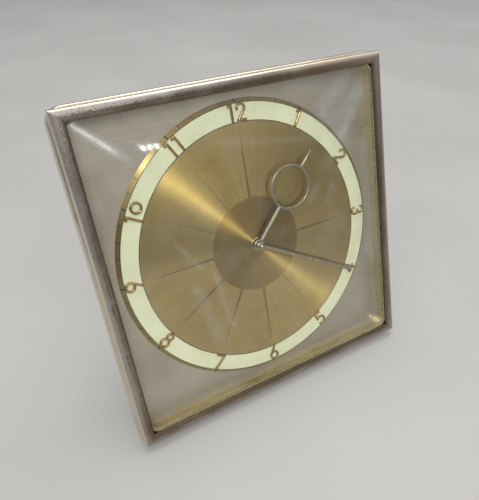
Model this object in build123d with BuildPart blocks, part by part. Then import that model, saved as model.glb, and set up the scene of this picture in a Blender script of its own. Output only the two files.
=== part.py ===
from build123d import *
import math
import os

# Desk clock, leaning back on a folding strut. Millimetres, +Z up, the dial faces -Y.
# Everything is drawn on the plane of the bezel's front face: x to the right,
# y up along the face, z out of the face towards the viewer.

# ---------------------------------------------------------------- dimensions
LEAN = 18.0                 # backward lean of the face
CASE_HALF = 75.0            # half width of the square case
CASE_CORNER = 6.5           # its corner radius
CASE_FRONT = -3.0
CASE_BACK = -11.0
CASE_WALL = 1.6
CASE_FLOOR = 1.4
CASE_EDGE = 0.8             # rounded rear edge
STAND_FLAT = 0.25           # depth of the narrow flat that the rear edge stands on
RIM_EDGE = 1.1              # rounded front edge
CASE_OPENING_R = 48.0

BEZEL_HALF = 74.1
BEZEL_OPEN = 69.0           # half width of the visible opening
BEZEL_LIP = 1.5             # thickness of the front flange
BEZEL_DEPTH = 3.0
BEZEL_SEAT = 70.5           # seat for the crystal
BEZEL_EDGE = 1.5            # rounded outer edge of the face
SKIRT_OUT, SKIRT_IN, SKIRT_END = 73.0, 71.9, -7.0
SKIRT_CORNER = 4.6

GLASS_HALF = 70.2
GLASS_CORNER = 6.0
GLASS_RIM = -1.9            # outer surface at the rim
GLASS_RISE = 5.9            # how far the middle stands above the rim
GLASS_T = 2.0

FRAME_OUT, FRAME_IN = 71.6, 69.8
FRAME_CORNER, FRAME_CORNER_IN = 3.2, 5.5
PLATE_FRONT, PLATE_BACK = -8.8, -9.6

DIAL_Z = -7.4               # upper face of the round dial
DISC_R = 55.85              # gold disc
RING_R = 63.8               # outer edge of the cream ring
BEVEL_R = 65.5              # foot of the bevelled minute track
RING_T = 0.3
CENTRE_R = 22.4             # darker middle
CENTRE_T = 0.25
DIAL_HOLE_R = 2.3

NUMERAL_R = 59.8
NUMERAL_W = 1.25
NUMERAL_T = 0.85

HOUR_ANGLE = 42.6           # clockwise from twelve
HOUR_RING_AT = 30.5
HOUR_RING_R, HOUR_RING_IN = 10.7, 9.5
HOUR_TIP = 49.6
HOUR_STEM_W = 1.5
HOUR_Z0, HOUR_Z1 = -5.3, -4.7
MINUTE_ANGLE = 120.0
MINUTE_LEN = 58.6
MINUTE_W = 1.7
MINUTE_Z0, MINUTE_Z1 = -3.6, -3.0
NUT_TOP = -1.3

ARBOR_R = 0.7
CANNON_R = 1.4
HOUR_PIPE_R = 2.0
RUN = 0.05                  # running clearance of pivots and pipes
SET = 0.02                  # clearance of fixed fits

M_FRONT, M_FRONT_IN = -14.5, -16.0      # front movement plate
M_BACK_IN, M_BACK = -32.0, -33.5        # back movement plate
MOVEMENT_R = 46.0
PILLAR_R, PILLAR_AT = 2.5, 41.0

COVER_R, COVER_WALL = 53.0, 1.0
COVER_FLANGE_R = 60.0
COVER_BACK = -38.0

# wheels: teeth and modules
GREAT_N, CENTRE_PIN_N, GREAT_M = 60, 10, 0.6
CENTRE_N, THIRD_PIN_N, CENTRE_M = 64, 8, 0.4
THIRD_N, FOURTH_PIN_N, THIRD_M = 60, 8, 0.35
FOURTH_N, ESCAPE_PIN_N, FOURTH_M = 60, 8, 0.3
CANNON_N, MINUTE_N, CANNON_M = 12, 36, 0.4
MINUTE_PIN_N, HOUR_N, HOUR_M = 10, 40, 0.384
ESCAPE_N, ESCAPE_R = 15, 7.2

HINGE_Y, HINGE_Z = -14.0, -41.5
STRUT_ANGLE = 20.0          # strut to the vertical, standing
STRUT_W, STRUT_T = 18.0, 1.6
FOOT_H = 4.0

SHIFT_Y = -17.6977          # brings the middle of the depth to the origin

# ---------------------------------------------------------------- placing
S, C = math.sin(math.radians(LEAN)), math.cos(math.radians(LEAN))
# the case stands on a flat along its lower rear edge
LIFT = (CASE_HALF - CASE_EDGE) * C + (-CASE_BACK - CASE_EDGE) * S + CASE_EDGE - STAND_FLAT
FACE = Plane(origin=(0, SHIFT_Y, LIFT), x_dir=(1, 0, 0), z_dir=(0, -C, S))


def at(x, y, z, turn=0.0):
    """Plane parallel to the face, its origin at a point of the face's frame, turned about its normal."""
    a = math.radians(turn)
    return Plane(
        origin=FACE.from_local_coords((x, y, z)),
        x_dir=FACE.x_dir * math.cos(a) + FACE.y_dir * math.sin(a),
        z_dir=FACE.z_dir,
    )


def side(x, y, z):
    """Plane square to the face through an axis: its y runs out of the face."""
    return Plane(origin=FACE.from_local_coords((x, y, z)), x_dir=FACE.x_dir, z_dir=-FACE.y_dir)


def axis_at(x, y):
    return Axis(FACE.from_local_coords((x, y, 0)), FACE.z_dir)


def polar(distance, degrees, start=(0.0, 0.0)):
    a = math.radians(degrees)
    return (start[0] + distance * math.cos(a), start[1] + distance * math.sin(a))


def teeth(n, m, add, ded, root, tip, turn):
    """Outline of a toothed wheel; root and tip are shares of the pitch angle."""
    rp = m * n / 2
    ra, rr, step = rp + add * m, rp - ded * m, 2 * math.pi / n
    points = []
    for k in range(n):
        c = math.radians(turn) + k * step
        for r, a in ((rr, -root * step / 2), (ra, -tip * step / 2), (ra, tip * step / 2), (rr, root * step / 2)):
            points.append((r * math.cos(c + a), r * math.sin(c + a)))
    return points


def wheel_teeth(n, m, towards):
    """A wheel with a tooth pointing along an angle."""
    return teeth(n, m, 0.85, 1.15, 0.56, 0.14, towards)


def pinion_teeth(n, m, towards):
    """A pinion with a gap pointing along an angle."""
    return teeth(n, m, 0.60, 1.25, 0.46, 0.26, towards + 180.0 / n)


def spiral(r0, r1, turns, thick, start):
    """Outline of a flat spiral ribbon."""
    steps = int(turns * 20)
    inner, outer = [], []
    for i in range(steps + 1):
        a = math.radians(start) + 2 * math.pi * turns * i / steps
        r = r0 + (r1 - r0) * i / steps
        inner.append(((r - thick / 2) * math.cos(a), (r - thick / 2) * math.sin(a)))
        outer.append(((r + thick / 2) * math.cos(a), (r + thick / 2) * math.sin(a)))
    return inner + outer[::-1]


# arbor positions on the movement
CENTRE = (0.0, 0.0)
BARREL = (0.0, GREAT_M * (GREAT_N + CENTRE_PIN_N) / 2)
TO_THIRD, TO_FOURTH, TO_ESCAPE, TO_PALLET, TO_BALANCE = -30.0, -110.0, 200.0, 170.0, 160.0
THIRD = polar(CENTRE_M * (CENTRE_N + THIRD_PIN_N) / 2, TO_THIRD, CENTRE)
FOURTH = polar(THIRD_M * (THIRD_N + FOURTH_PIN_N) / 2, TO_FOURTH, THIRD)
ESCAPE = polar(FOURTH_M * (FOURTH_N + ESCAPE_PIN_N) / 2, TO_ESCAPE, FOURTH)
PALLET = polar(9.6, TO_PALLET, ESCAPE)
BALANCE = polar(10.0, TO_BALANCE, PALLET)
MINUTE = (0.0, -CANNON_M * (CANNON_N + MINUTE_N) / 2)
PILLARS = [polar(PILLAR_AT, a) for a in (45, 135, 225, 315)]
DIAL_FEET = [polar(30.0, a) for a in (65, 200, 330)]
COVER_SCREWS = [polar(56.5, a) for a in (45, 135, 225, 315)]

os.makedirs("parts", exist_ok=True)

# ---------------------------------------------------------------- case
# Shallow drawn tray, open to the front, with a round opening for the movement.
with BuildPart() as case_body:
    with BuildSketch(at(0, 0, CASE_BACK)):
        RectangleRounded(2 * CASE_HALF, 2 * CASE_HALF, CASE_CORNER)
    extrude(amount=CASE_FRONT - CASE_BACK)
    fillet(case_body.faces().sort_by(axis_at(0, 0))[0].edges(), CASE_EDGE)
    fillet(case_body.faces().sort_by(axis_at(0, 0))[-1].edges(), RIM_EDGE)
    with BuildSketch(at(0, 0, CASE_FRONT)):
        RectangleRounded(2 * (CASE_HALF - CASE_WALL), 2 * (CASE_HALF - CASE_WALL), CASE_CORNER - CASE_WALL)
    extrude(amount=CASE_BACK + CASE_FLOOR - CASE_FRONT, mode=Mode.SUBTRACT)
    with BuildSketch(at(0, 0, CASE_BACK)):
        Circle(CASE_OPENING_R)
        with Locations(*COVER_SCREWS):
            Circle(1.0 + SET)
    extrude(amount=CASE_FLOOR, mode=Mode.SUBTRACT)
    with BuildSketch(Plane.XY):
        Rectangle(4 * CASE_HALF, 2 * CASE_HALF)
    extrude(amount=-2.0, mode=Mode.SUBTRACT)
case_body.part.label = "case_body"
export_step(case_body.part, "parts/case_body.step")

# Square frame with a flat face and sharp corners; a rounded skirt behind it fits the tray.
with BuildPart() as front_bezel:
    with BuildSketch(at(0, 0, -BEZEL_DEPTH)):
        Rectangle(2 * BEZEL_HALF, 2 * BEZEL_HALF)
    extrude(amount=BEZEL_DEPTH)
    fillet(front_bezel.faces().sort_by(axis_at(0, 0))[-1].edges(), BEZEL_EDGE)
    with BuildSketch(at(0, 0, SKIRT_END)):
        RectangleRounded(2 * SKIRT_OUT, 2 * SKIRT_OUT, SKIRT_CORNER)
        RectangleRounded(2 * SKIRT_IN, 2 * SKIRT_IN, SKIRT_CORNER - SKIRT_OUT + SKIRT_IN, mode=Mode.SUBTRACT)
    extrude(amount=-BEZEL_DEPTH - SKIRT_END)
    with BuildSketch(at(0, 0, -BEZEL_DEPTH)):
        Rectangle(2 * BEZEL_SEAT, 2 * BEZEL_SEAT)
    extrude(amount=BEZEL_DEPTH - BEZEL_LIP, mode=Mode.SUBTRACT)
    with BuildSketch(at(0, 0, 0)):
        Rectangle(2 * BEZEL_OPEN, 2 * BEZEL_OPEN)
    extrude(amount=-BEZEL_LIP, mode=Mode.SUBTRACT)
front_bezel.part.label = "front_bezel"
export_step(front_bezel.part, "parts/front_bezel.step")


# Pillow-shaped crystal: both faces rise from a level square rim to the middle.
def pillow(level):
    grid, reach, count = [], 73.0, 19
    for i in range(count):
        x = -reach + 2 * reach * i / (count - 1)
        row = []
        for j in range(count):
            y = -reach + 2 * reach * j / (count - 1)
            rise = GLASS_RISE * (1 - (x / GLASS_HALF) ** 2) * (1 - (y / GLASS_HALF) ** 2)
            row.append(FACE.from_local_coords(Vector(x, y, level + rise)))
        grid.append(row)
    return Face.make_surface_from_array_of_points(grid)


with BuildPart() as crystal:
    with BuildSketch(at(0, 0, GLASS_RIM - GLASS_T - 2.0)):
        RectangleRounded(2 * GLASS_HALF, 2 * GLASS_HALF, GLASS_CORNER)
    extrude(amount=GLASS_RISE + GLASS_T + 6.0)
    split(bisect_by=pillow(GLASS_RIM), keep=Keep.BOTTOM)
    split(bisect_by=pillow(GLASS_RIM - GLASS_T), keep=Keep.TOP)
crystal.part.label = "crystal"
export_step(crystal.part, "parts/crystal.step")

# Gold frame between the dial plate and the crystal.
with BuildPart() as inner_frame:
    with BuildSketch(at(0, 0, PLATE_FRONT)):
        RectangleRounded(2 * FRAME_OUT, 2 * FRAME_OUT, FRAME_CORNER)
        RectangleRounded(2 * FRAME_IN, 2 * FRAME_IN, FRAME_CORNER_IN, mode=Mode.SUBTRACT)
    extrude(amount=GLASS_RIM - GLASS_T - PLATE_FRONT)
inner_frame.part.label = "inner_frame"
export_step(inner_frame.part, "parts/inner_frame.step")

# ---------------------------------------------------------------- dial
with BuildPart() as dial_plate:
    with BuildSketch(at(0, 0, PLATE_BACK)):
        RectangleRounded(2 * FRAME_OUT, 2 * FRAME_OUT, FRAME_CORNER)
        Circle(DIAL_HOLE_R, mode=Mode.SUBTRACT)
    extrude(amount=PLATE_FRONT - PLATE_BACK)
dial_plate.part.label = "dial_plate"
export_step(dial_plate.part, "parts/dial_plate.step")

# Round dial: bevelled edge for the minute track, recesses for the ring and the middle.
with BuildPart() as dial_disc:
    with BuildSketch(side(0, 0, 0)):
        with BuildLine():
            Polyline(
                (DIAL_HOLE_R, PLATE_FRONT),
                (BEVEL_R, PLATE_FRONT),
                (RING_R, DIAL_Z),
                (RING_R - 0.15, DIAL_Z),
                (RING_R - 0.15, DIAL_Z - RING_T),
                (DISC_R, DIAL_Z - RING_T),
                (DISC_R, DIAL_Z),
                (CENTRE_R, DIAL_Z),
                (CENTRE_R, DIAL_Z - CENTRE_T),
                (DIAL_HOLE_R, DIAL_Z - CENTRE_T),
                close=True,
            )
        make_face()
    revolve(axis=axis_at(0, 0))
dial_disc.part.label = "dial_disc"
export_step(dial_disc.part, "parts/dial_disc.step")

with BuildPart() as chapter_ring:
    with BuildSketch(at(0, 0, DIAL_Z - RING_T)):
        Circle(RING_R - 0.15 - SET)
        Circle(DISC_R + SET, mode=Mode.SUBTRACT)
    extrude(amount=RING_T)
chapter_ring.part.label = "chapter_ring"
export_step(chapter_ring.part, "parts/chapter_ring.step")

with BuildPart() as dial_centre:
    with BuildSketch(at(0, 0, DIAL_Z - CENTRE_T)):
        Circle(CENTRE_R - SET)
        Circle(DIAL_HOLE_R, mode=Mode.SUBTRACT)
    extrude(amount=CENTRE_T)
dial_centre.part.label = "dial_centre"
export_step(dial_centre.part, "parts/dial_centre.step")

# Gold ring on the dial around the hand pipes.
with BuildPart() as dial_bushing:
    with BuildSketch(side(0, 0, 0)):
        with BuildLine():
            Polyline((2.3, DIAL_Z), (3.4, DIAL_Z), (3.1, DIAL_Z + 0.7), (2.3, DIAL_Z + 0.7), close=True)
        make_face()
    revolve(axis=axis_at(0, 0))
dial_bushing.part.label = "dial_bushing"
export_step(dial_bushing.part, "parts/dial_bushing.step")

# Applied numerals drawn as strokes of one width in a cell 7.8 high.
# Each digit: straight strokes (x0, y0, x1, y1) and arcs (x, y, radius, from, to).
DIGITS = {
    "0": ([], [(0, 0.3, 2.15, 0, 360)]),
    "1": ([(0, -3.4, 0, 3.4), (0, 3.4, -1.3, 2.8)], []),
    "2": ([(1.5, 0.62, -1.8, -3.4), (-1.8, -3.4, 1.9, -3.4)], [(0, 1.6, 1.8, -33, 190)]),
    "3": ([], [(0, 1.75, 1.65, -90, 160), (0, -1.6, 1.8, -160, 90)]),
    "4": ([(0.9, 3.4, -2.1, -1.3), (-2.1, -1.3, 2.1, -1.3), (0.9, 3.4, 0.9, -3.4)], []),
    "5": ([(-1.2, 3.4, 1.6, 3.4), (-1.2, 3.4, -1.5, 0.3)], [(-0.2, -1.3, 2.1, -140, 128)]),
    "6": ([(-1.75, -2.1 + 1.4, 0.6, 3.4)], [(0, -1.5, 1.9, 0, 360)]),
    "7": ([(-1.9, 3.4, 1.9, 3.4), (1.9, 3.4, -0.6, -3.4)], []),
    "8": ([], [(0, -1.5, 1.9, 0, 360), (0, 1.95, 1.45, 0, 360)]),
    "9": ([(1.75, 2.1 - 1.4, -0.6, -3.4)], [(0, 1.5, 1.9, 0, 360)]),
}
NUMERALS = [("12", 0), ("1", 30), ("2", 60), ("3", 90), ("4", 120), ("5", 150),
            ("6", 180), ("7", 210), ("8", 240), ("9", 270), ("10", 300), ("11", 330)]
PAIRS = {"10": (-2.6, 2.1), "11": (-1.7, 2.4), "12": (-2.3, 2.1)}

with BuildPart() as hour_numerals:
    for text, clock in NUMERALS:
        inward = text in ("4", "5", "6", "7", "8")
        middle = polar(NUMERAL_R, 90 - clock)
        turn = -clock + (180 if inward else 0)
        for digit, shift in zip(text, PAIRS.get(text, (0.0,))):
            straight, arcs = DIGITS[digit]
            ox, oy = polar(shift, turn, middle)
            with BuildSketch(at(ox, oy, DIAL_Z, turn)):
                for x0, y0, x1, y1 in straight:
                    with Locations(((x0 + x1) / 2, (y0 + y1) / 2)):
                        SlotCenterToCenter(
                            math.hypot(x1 - x0, y1 - y0), NUMERAL_W,
                            rotation=math.degrees(math.atan2(y1 - y0, x1 - x0)),
                        )
                for x, y, r, a0, a1 in arcs:
                    if a1 - a0 >= 360:
                        with BuildLine():
                            CenterArc((x, y), r + NUMERAL_W / 2, 0, 360)
                        make_face()
                    else:
                        SlotArc(Edge.make_circle(r, Plane(origin=(x, y, 0)), a0, a1), NUMERAL_W)
                for x, y, r, a0, a1 in arcs:
                    if a1 - a0 >= 360:
                        with Locations((x, y)):
                            Circle(r - NUMERAL_W / 2, mode=Mode.SUBTRACT)
            extrude(amount=NUMERAL_T)
hour_numerals.part.label = "hour_numerals"
export_step(hour_numerals.part, "parts/hour_numerals.step")

# Three posts carry the dial plate on the movement.
with BuildPart() as dial_feet:
    with BuildSketch(at(0, 0, M_FRONT)):
        with Locations(*DIAL_FEET):
            Circle(2.0)
    extrude(amount=PLATE_BACK - M_FRONT)
    with BuildSketch(at(0, 0, M_FRONT_IN)):
        with Locations(*DIAL_FEET):
            Circle(1.2)
    extrude(amount=M_FRONT - M_FRONT_IN)
dial_feet.part.label = "dial_feet"
export_step(dial_feet.part, "parts/dial_feet.step")

# ---------------------------------------------------------------- hands
# Hour hand: boss, slim stem, open ring and a thorn with hollow flanks.
with BuildPart() as hour_hand:
    with BuildSketch(at(0, 0, HOUR_Z0, -HOUR_ANGLE)):
        Circle(2.8)
        with Locations((0, (HOUR_RING_AT - HOUR_RING_R) / 2 + 0.3)):
            Rectangle(HOUR_STEM_W, HOUR_RING_AT - HOUR_RING_R + 0.6)
        with Locations((0, HOUR_RING_AT)):
            Circle(HOUR_RING_R)
        with BuildLine():
            base = HOUR_RING_AT + HOUR_RING_R - 0.4
            l1 = Line((-1.5, base), (1.5, base))
            l2 = ThreePointArc(l1 @ 1, (0.62, base + 3.2), (0.12, HOUR_TIP))
            l3 = Line(l2 @ 1, (-0.12, HOUR_TIP))
            l4 = ThreePointArc(l3 @ 1, (-0.62, base + 3.2), l1 @ 0)
        make_face()
        with Locations((0, HOUR_RING_AT)):
            Circle(HOUR_RING_IN, mode=Mode.SUBTRACT)
        Circle(1.8 + SET, mode=Mode.SUBTRACT)
    extrude(amount=HOUR_Z1 - HOUR_Z0)
hour_hand.part.label = "hour_hand"
export_step(hour_hand.part, "parts/hour_hand.step")

with BuildPart() as minute_hand:
    with BuildSketch(at(0, 0, MINUTE_Z0, -MINUTE_ANGLE)):
        Circle(2.0)
        with BuildLine():
            Polyline(
                (-MINUTE_W / 2, 0), (MINUTE_W / 2, 0), (0.62, MINUTE_LEN - 0.8), (0.15, MINUTE_LEN),
                (-0.15, MINUTE_LEN), (-0.62, MINUTE_LEN - 0.8), close=True,
            )
        make_face()
        Circle(1.15 + SET, mode=Mode.SUBTRACT)
    extrude(amount=MINUTE_Z1 - MINUTE_Z0)
minute_hand.part.label = "minute_hand"
export_step(minute_hand.part, "parts/minute_hand.step")

with BuildPart() as hand_nut:
    with BuildSketch(side(0, 0, 0)):
        with BuildLine():
            Polyline(
                (0, MINUTE_Z1 + 1.2), (0, NUT_TOP), (0.45, NUT_TOP - 0.05), (0.85, NUT_TOP - 0.3), (1.05, NUT_TOP - 0.75),
                (1.05, NUT_TOP - 1.1), (1.45, NUT_TOP - 1.2), (1.45, MINUTE_Z1), (ARBOR_R + SET, MINUTE_Z1),
                (ARBOR_R + SET, MINUTE_Z1 + 1.2), close=True,
            )
        make_face()
    revolve(axis=axis_at(0, 0))
hand_nut.part.label = "hand_nut"
export_step(hand_nut.part, "parts/hand_nut.step")

# ---------------------------------------------------------------- motion works
with BuildPart() as centre_arbor:
    with BuildSketch(at(0, 0, -44.0)):
        Circle(ARBOR_R)
    extrude(amount=MINUTE_Z1 + 1.1 + 44.0)
centre_arbor.part.label = "centre_arbor"
export_step(centre_arbor.part, "parts/centre_arbor.step")

with BuildPart() as cannon_pinion:
    with BuildSketch(at(0, 0, -13.9)):
        with BuildLine():
            Polyline(*pinion_teeth(CANNON_N, CANNON_M, -90.0), close=True)
        make_face()
    extrude(amount=1.4)
    with BuildSketch(at(0, 0, -12.5)):
        Circle(CANNON_R)
    extrude(amount=MINUTE_Z0 + 12.5)
    with BuildSketch(at(0, 0, MINUTE_Z0)):
        Circle(1.15)
    extrude(amount=MINUTE_Z1 - MINUTE_Z0)
    with BuildSketch(at(0, 0, -14.5)):
        Circle(ARBOR_R + SET)
    extrude(amount=12.0, mode=Mode.SUBTRACT)
cannon_pinion.part.label = "cannon_pinion"
export_step(cannon_pinion.part, "parts/cannon_pinion.step")

with BuildPart() as minute_stud:
    with BuildSketch(at(*MINUTE, M_FRONT_IN)):
        Circle(0.8)
    extrude(amount=-10.5 - M_FRONT_IN)
minute_stud.part.label = "minute_stud"
export_step(minute_stud.part, "parts/minute_stud.step")

with BuildPart() as minute_wheel:
    with BuildSketch(at(*MINUTE, -13.7)):
        with BuildLine():
            Polyline(*wheel_teeth(MINUTE_N, CANNON_M, 90.0), close=True)
        make_face()
    extrude(amount=0.8)
    with BuildSketch(at(*MINUTE, -12.9)):
        with BuildLine():
            Polyline(*pinion_teeth(MINUTE_PIN_N, HOUR_M, 90.0), close=True)
        make_face()
    extrude(amount=2.2)
    with BuildSketch(at(*MINUTE, -14.0)):
        Circle(0.8 + RUN)
    extrude(amount=4.0, mode=Mode.SUBTRACT)
minute_wheel.part.label = "minute_wheel"
export_step(minute_wheel.part, "parts/minute_wheel.step")

with BuildPart() as hour_wheel:
    with BuildSketch(at(0, 0, -11.9)):
        with BuildLine():
            Polyline(*wheel_teeth(HOUR_N, HOUR_M, -90.0), close=True)
        make_face()
    extrude(amount=0.8)
    with BuildSketch(at(0, 0, -11.1)):
        Circle(HOUR_PIPE_R)
    extrude(amount=HOUR_Z0 + 11.1)
    with BuildSketch(at(0, 0, HOUR_Z0)):
        Circle(1.8)
    extrude(amount=HOUR_Z1 - HOUR_Z0)
    with BuildSketch(at(0, 0, -12.0)):
        Circle(CANNON_R + RUN)
    extrude(amount=8.0, mode=Mode.SUBTRACT)
hour_wheel.part.label = "hour_wheel"
export_step(hour_wheel.part, "parts/hour_wheel.step")

# ---------------------------------------------------------------- movement frame
PIVOTS = [(CENTRE, ARBOR_R), (BARREL, 2.0), (THIRD, 0.6), (FOURTH, 0.6), (ESCAPE, 0.5), (PALLET, 0.5), (BALANCE, 0.5)]

with BuildPart() as front_plate:
    with BuildSketch(at(0, 0, M_FRONT_IN)):
        Circle(MOVEMENT_R)
        for place, r in PIVOTS:
            with Locations(place):
                Circle(r + RUN, mode=Mode.SUBTRACT)
        with Locations(*PILLARS):
            Circle(1.1, mode=Mode.SUBTRACT)
        with Locations(*DIAL_FEET):
            Circle(1.2 + SET, mode=Mode.SUBTRACT)
        with Locations(MINUTE):
            Circle(0.8 + SET, mode=Mode.SUBTRACT)
    extrude(amount=M_FRONT - M_FRONT_IN)
front_plate.part.label = "front_plate"
export_step(front_plate.part, "parts/front_plate.step")

CLICK_PIVOT = (12.8, 26.2)
with BuildPart() as back_plate:
    with BuildSketch(at(0, 0, M_BACK)):
        Circle(MOVEMENT_R)
        for place, r in PIVOTS:
            with Locations(place):
                Circle(r + RUN, mode=Mode.SUBTRACT)
        with Locations(*PILLARS):
            Circle(1.1, mode=Mode.SUBTRACT)
        with Locations(CLICK_PIVOT):
            Circle(0.8 + SET, mode=Mode.SUBTRACT)
    extrude(amount=M_BACK_IN - M_BACK)
back_plate.part.label = "back_plate"
export_step(back_plate.part, "parts/back_plate.step")

with BuildPart() as pillars:
    with BuildSketch(at(0, 0, M_BACK_IN)):
        with Locations(*PILLARS):
            Circle(PILLAR_R)
    extrude(amount=M_FRONT_IN - M_BACK_IN)
    for level, depth in ((M_BACK_IN, 4.0), (M_FRONT_IN, -4.0)):
        with BuildSketch(at(0, 0, level)):
            with Locations(*PILLARS):
                Circle(1.0 + SET)
        extrude(amount=depth, mode=Mode.SUBTRACT)
pillars.part.label = "pillars"
export_step(pillars.part, "parts/pillars.step")

with BuildPart() as plate_screws:
    for level, out in ((M_FRONT, 1.0), (M_BACK, -1.0)):
        with BuildSketch(at(0, 0, level)):
            with Locations(*PILLARS):
                Circle(2.0)
        extrude(amount=1.1 * out)
        with BuildSketch(at(0, 0, level)):
            with Locations(*PILLARS):
                Circle(1.0)
        extrude(amount=-5.0 * out)
        with BuildSketch(at(0, 0, level + 1.1 * out)):
            with Locations(*PILLARS):
                Rectangle(5.0, 0.5)
        extrude(amount=-0.5 * out, mode=Mode.SUBTRACT)
plate_screws.part.label = "plate_screws"
export_step(plate_screws.part, "parts/plate_screws.step")

# ---------------------------------------------------------------- going train
# Great wheel with the spring barrel in one piece.
with BuildPart() as great_wheel:
    with BuildSketch(at(*BARREL, -30.4)):
        with BuildLine():
            Polyline(*wheel_teeth(GREAT_N, GREAT_M, -90.0), close=True)
        make_face()
    extrude(amount=1.4)
    with BuildSketch(at(*BARREL, -29.0)):
        Circle(15.0)
        Circle(14.2, mode=Mode.SUBTRACT)
    extrude(amount=7.4)
    with BuildSketch(at(*BARREL, -31.0)):
        Circle(2.0 + RUN)
    extrude(amount=3.0, mode=Mode.SUBTRACT)
great_wheel.part.label = "great_wheel"
export_step(great_wheel.part, "parts/great_wheel.step")

with BuildPart() as barrel_cover:
    with BuildSketch(at(*BARREL, -21.6)):
        Circle(15.0)
        Circle(2.0 + RUN, mode=Mode.SUBTRACT)
    extrude(amount=0.8)
barrel_cover.part.label = "barrel_cover"
export_step(barrel_cover.part, "parts/barrel_cover.step")

with BuildPart() as mainspring:
    with BuildSketch(at(*BARREL, -28.6)):
        with BuildLine():
            Polyline(*spiral(5.0, 13.8, 5, 0.4, 0.0), close=True)
        make_face()
    extrude(amount=6.6)
mainspring.part.label = "mainspring"
export_step(mainspring.part, "parts/mainspring.step")

with BuildPart() as barrel_arbor:
    with BuildSketch(at(*BARREL, -42.0)):
        Circle(2.0)
    extrude(amount=42.0 - 14.7)
barrel_arbor.part.label = "barrel_arbor"
export_step(barrel_arbor.part, "parts/barrel_arbor.step")

with BuildPart() as ratchet_wheel:
    with BuildSketch(at(*BARREL, -35.3)):
        with BuildLine():
            saw = []
            for k in range(24):
                saw += [polar(7.2, 15.0 * k), polar(6.2, 15.0 * k + 1.0)]
            Polyline(*saw, close=True)
        make_face()
        Circle(2.0 + SET, mode=Mode.SUBTRACT)
    extrude(amount=1.2)
ratchet_wheel.part.label = "ratchet_wheel"
export_step(ratchet_wheel.part, "parts/ratchet_wheel.step")

NOSE = (7.9, 24.7)
with BuildPart() as click:
    with BuildSketch(at(0, 0, -35.3)):
        with Locations(((CLICK_PIVOT[0] + NOSE[0]) / 2, (CLICK_PIVOT[1] + NOSE[1]) / 2)):
            SlotCenterToCenter(
                math.dist(CLICK_PIVOT, NOSE), 1.8,
                rotation=math.degrees(math.atan2(CLICK_PIVOT[1] - NOSE[1], CLICK_PIVOT[0] - NOSE[0])),
            )
        with Locations(CLICK_PIVOT):
            Circle(1.7)
            Circle(0.8 + SET, mode=Mode.SUBTRACT)
    extrude(amount=1.2)
    with BuildSketch(at(*CLICK_PIVOT, M_BACK)):
        Circle(1.5)
        Circle(0.8 + SET, mode=Mode.SUBTRACT)
    extrude(amount=-0.6)
click.part.label = "click"
export_step(click.part, "parts/click.step")

with BuildPart() as click_screw:
    with BuildSketch(at(*CLICK_PIVOT, -36.2)):
        Circle(1.6)
    extrude(amount=0.9)
    with BuildSketch(at(*CLICK_PIVOT, -35.3)):
        Circle(0.8)
    extrude(amount=3.0)
    with BuildSketch(at(*CLICK_PIVOT, -36.2)):
        Rectangle(4.0, 0.5)
    extrude(amount=0.4, mode=Mode.SUBTRACT)
click_screw.part.label = "click_screw"
export_step(click_screw.part, "parts/click_screw.step")

# The centre wheel turns on the centre arbor through a friction clutch.
with BuildPart() as centre_wheel:
    with BuildSketch(at(0, 0, -31.2)):
        with BuildLine():
            Polyline(*pinion_teeth(CENTRE_PIN_N, GREAT_M, 90.0), close=True)
        make_face()
    extrude(amount=2.9)
    with BuildSketch(at(0, 0, -31.7)):
        Circle(1.5)
    extrude(amount=15.4)
    with BuildSketch(at(0, 0, -20.0)):
        with BuildLine():
            Polyline(*wheel_teeth(CENTRE_N, CENTRE_M, TO_THIRD), close=True)
        make_face()
    extrude(amount=0.9)
    with BuildSketch(at(0, 0, -32.0)):
        Circle(ARBOR_R + RUN)
    extrude(amount=16.0, mode=Mode.SUBTRACT)
centre_wheel.part.label = "centre_wheel"
export_step(centre_wheel.part, "parts/centre_wheel.step")

with BuildPart() as third_wheel:
    with BuildSketch(at(*THIRD, M_BACK + 0.3)):
        Circle(0.6)
    extrude(amount=M_FRONT - M_BACK - 0.6)
    with BuildSketch(at(*THIRD, -21.0)):
        with BuildLine():
            Polyline(*pinion_teeth(THIRD_PIN_N, CENTRE_M, TO_THIRD + 180.0), close=True)
        make_face()
    extrude(amount=3.0)
    with BuildSketch(at(*THIRD, -23.6)):
        with BuildLine():
            Polyline(*wheel_teeth(THIRD_N, THIRD_M, TO_FOURTH), close=True)
        make_face()
    extrude(amount=0.8)
third_wheel.part.label = "third_wheel"
export_step(third_wheel.part, "parts/third_wheel.step")

with BuildPart() as fourth_wheel:
    with BuildSketch(at(*FOURTH, M_BACK + 0.3)):
        Circle(0.6)
    extrude(amount=M_FRONT - M_BACK - 0.6)
    with BuildSketch(at(*FOURTH, -24.6)):
        with BuildLine():
            Polyline(*pinion_teeth(FOURTH_PIN_N, THIRD_M, TO_FOURTH + 180.0), close=True)
        make_face()
    extrude(amount=2.8)
    with BuildSketch(at(*FOURTH, -27.6)):
        with BuildLine():
            Polyline(*wheel_teeth(FOURTH_N, FOURTH_M, TO_ESCAPE), close=True)
        make_face()
    extrude(amount=0.7)
fourth_wheel.part.label = "fourth_wheel"
export_step(fourth_wheel.part, "parts/fourth_wheel.step")

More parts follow.
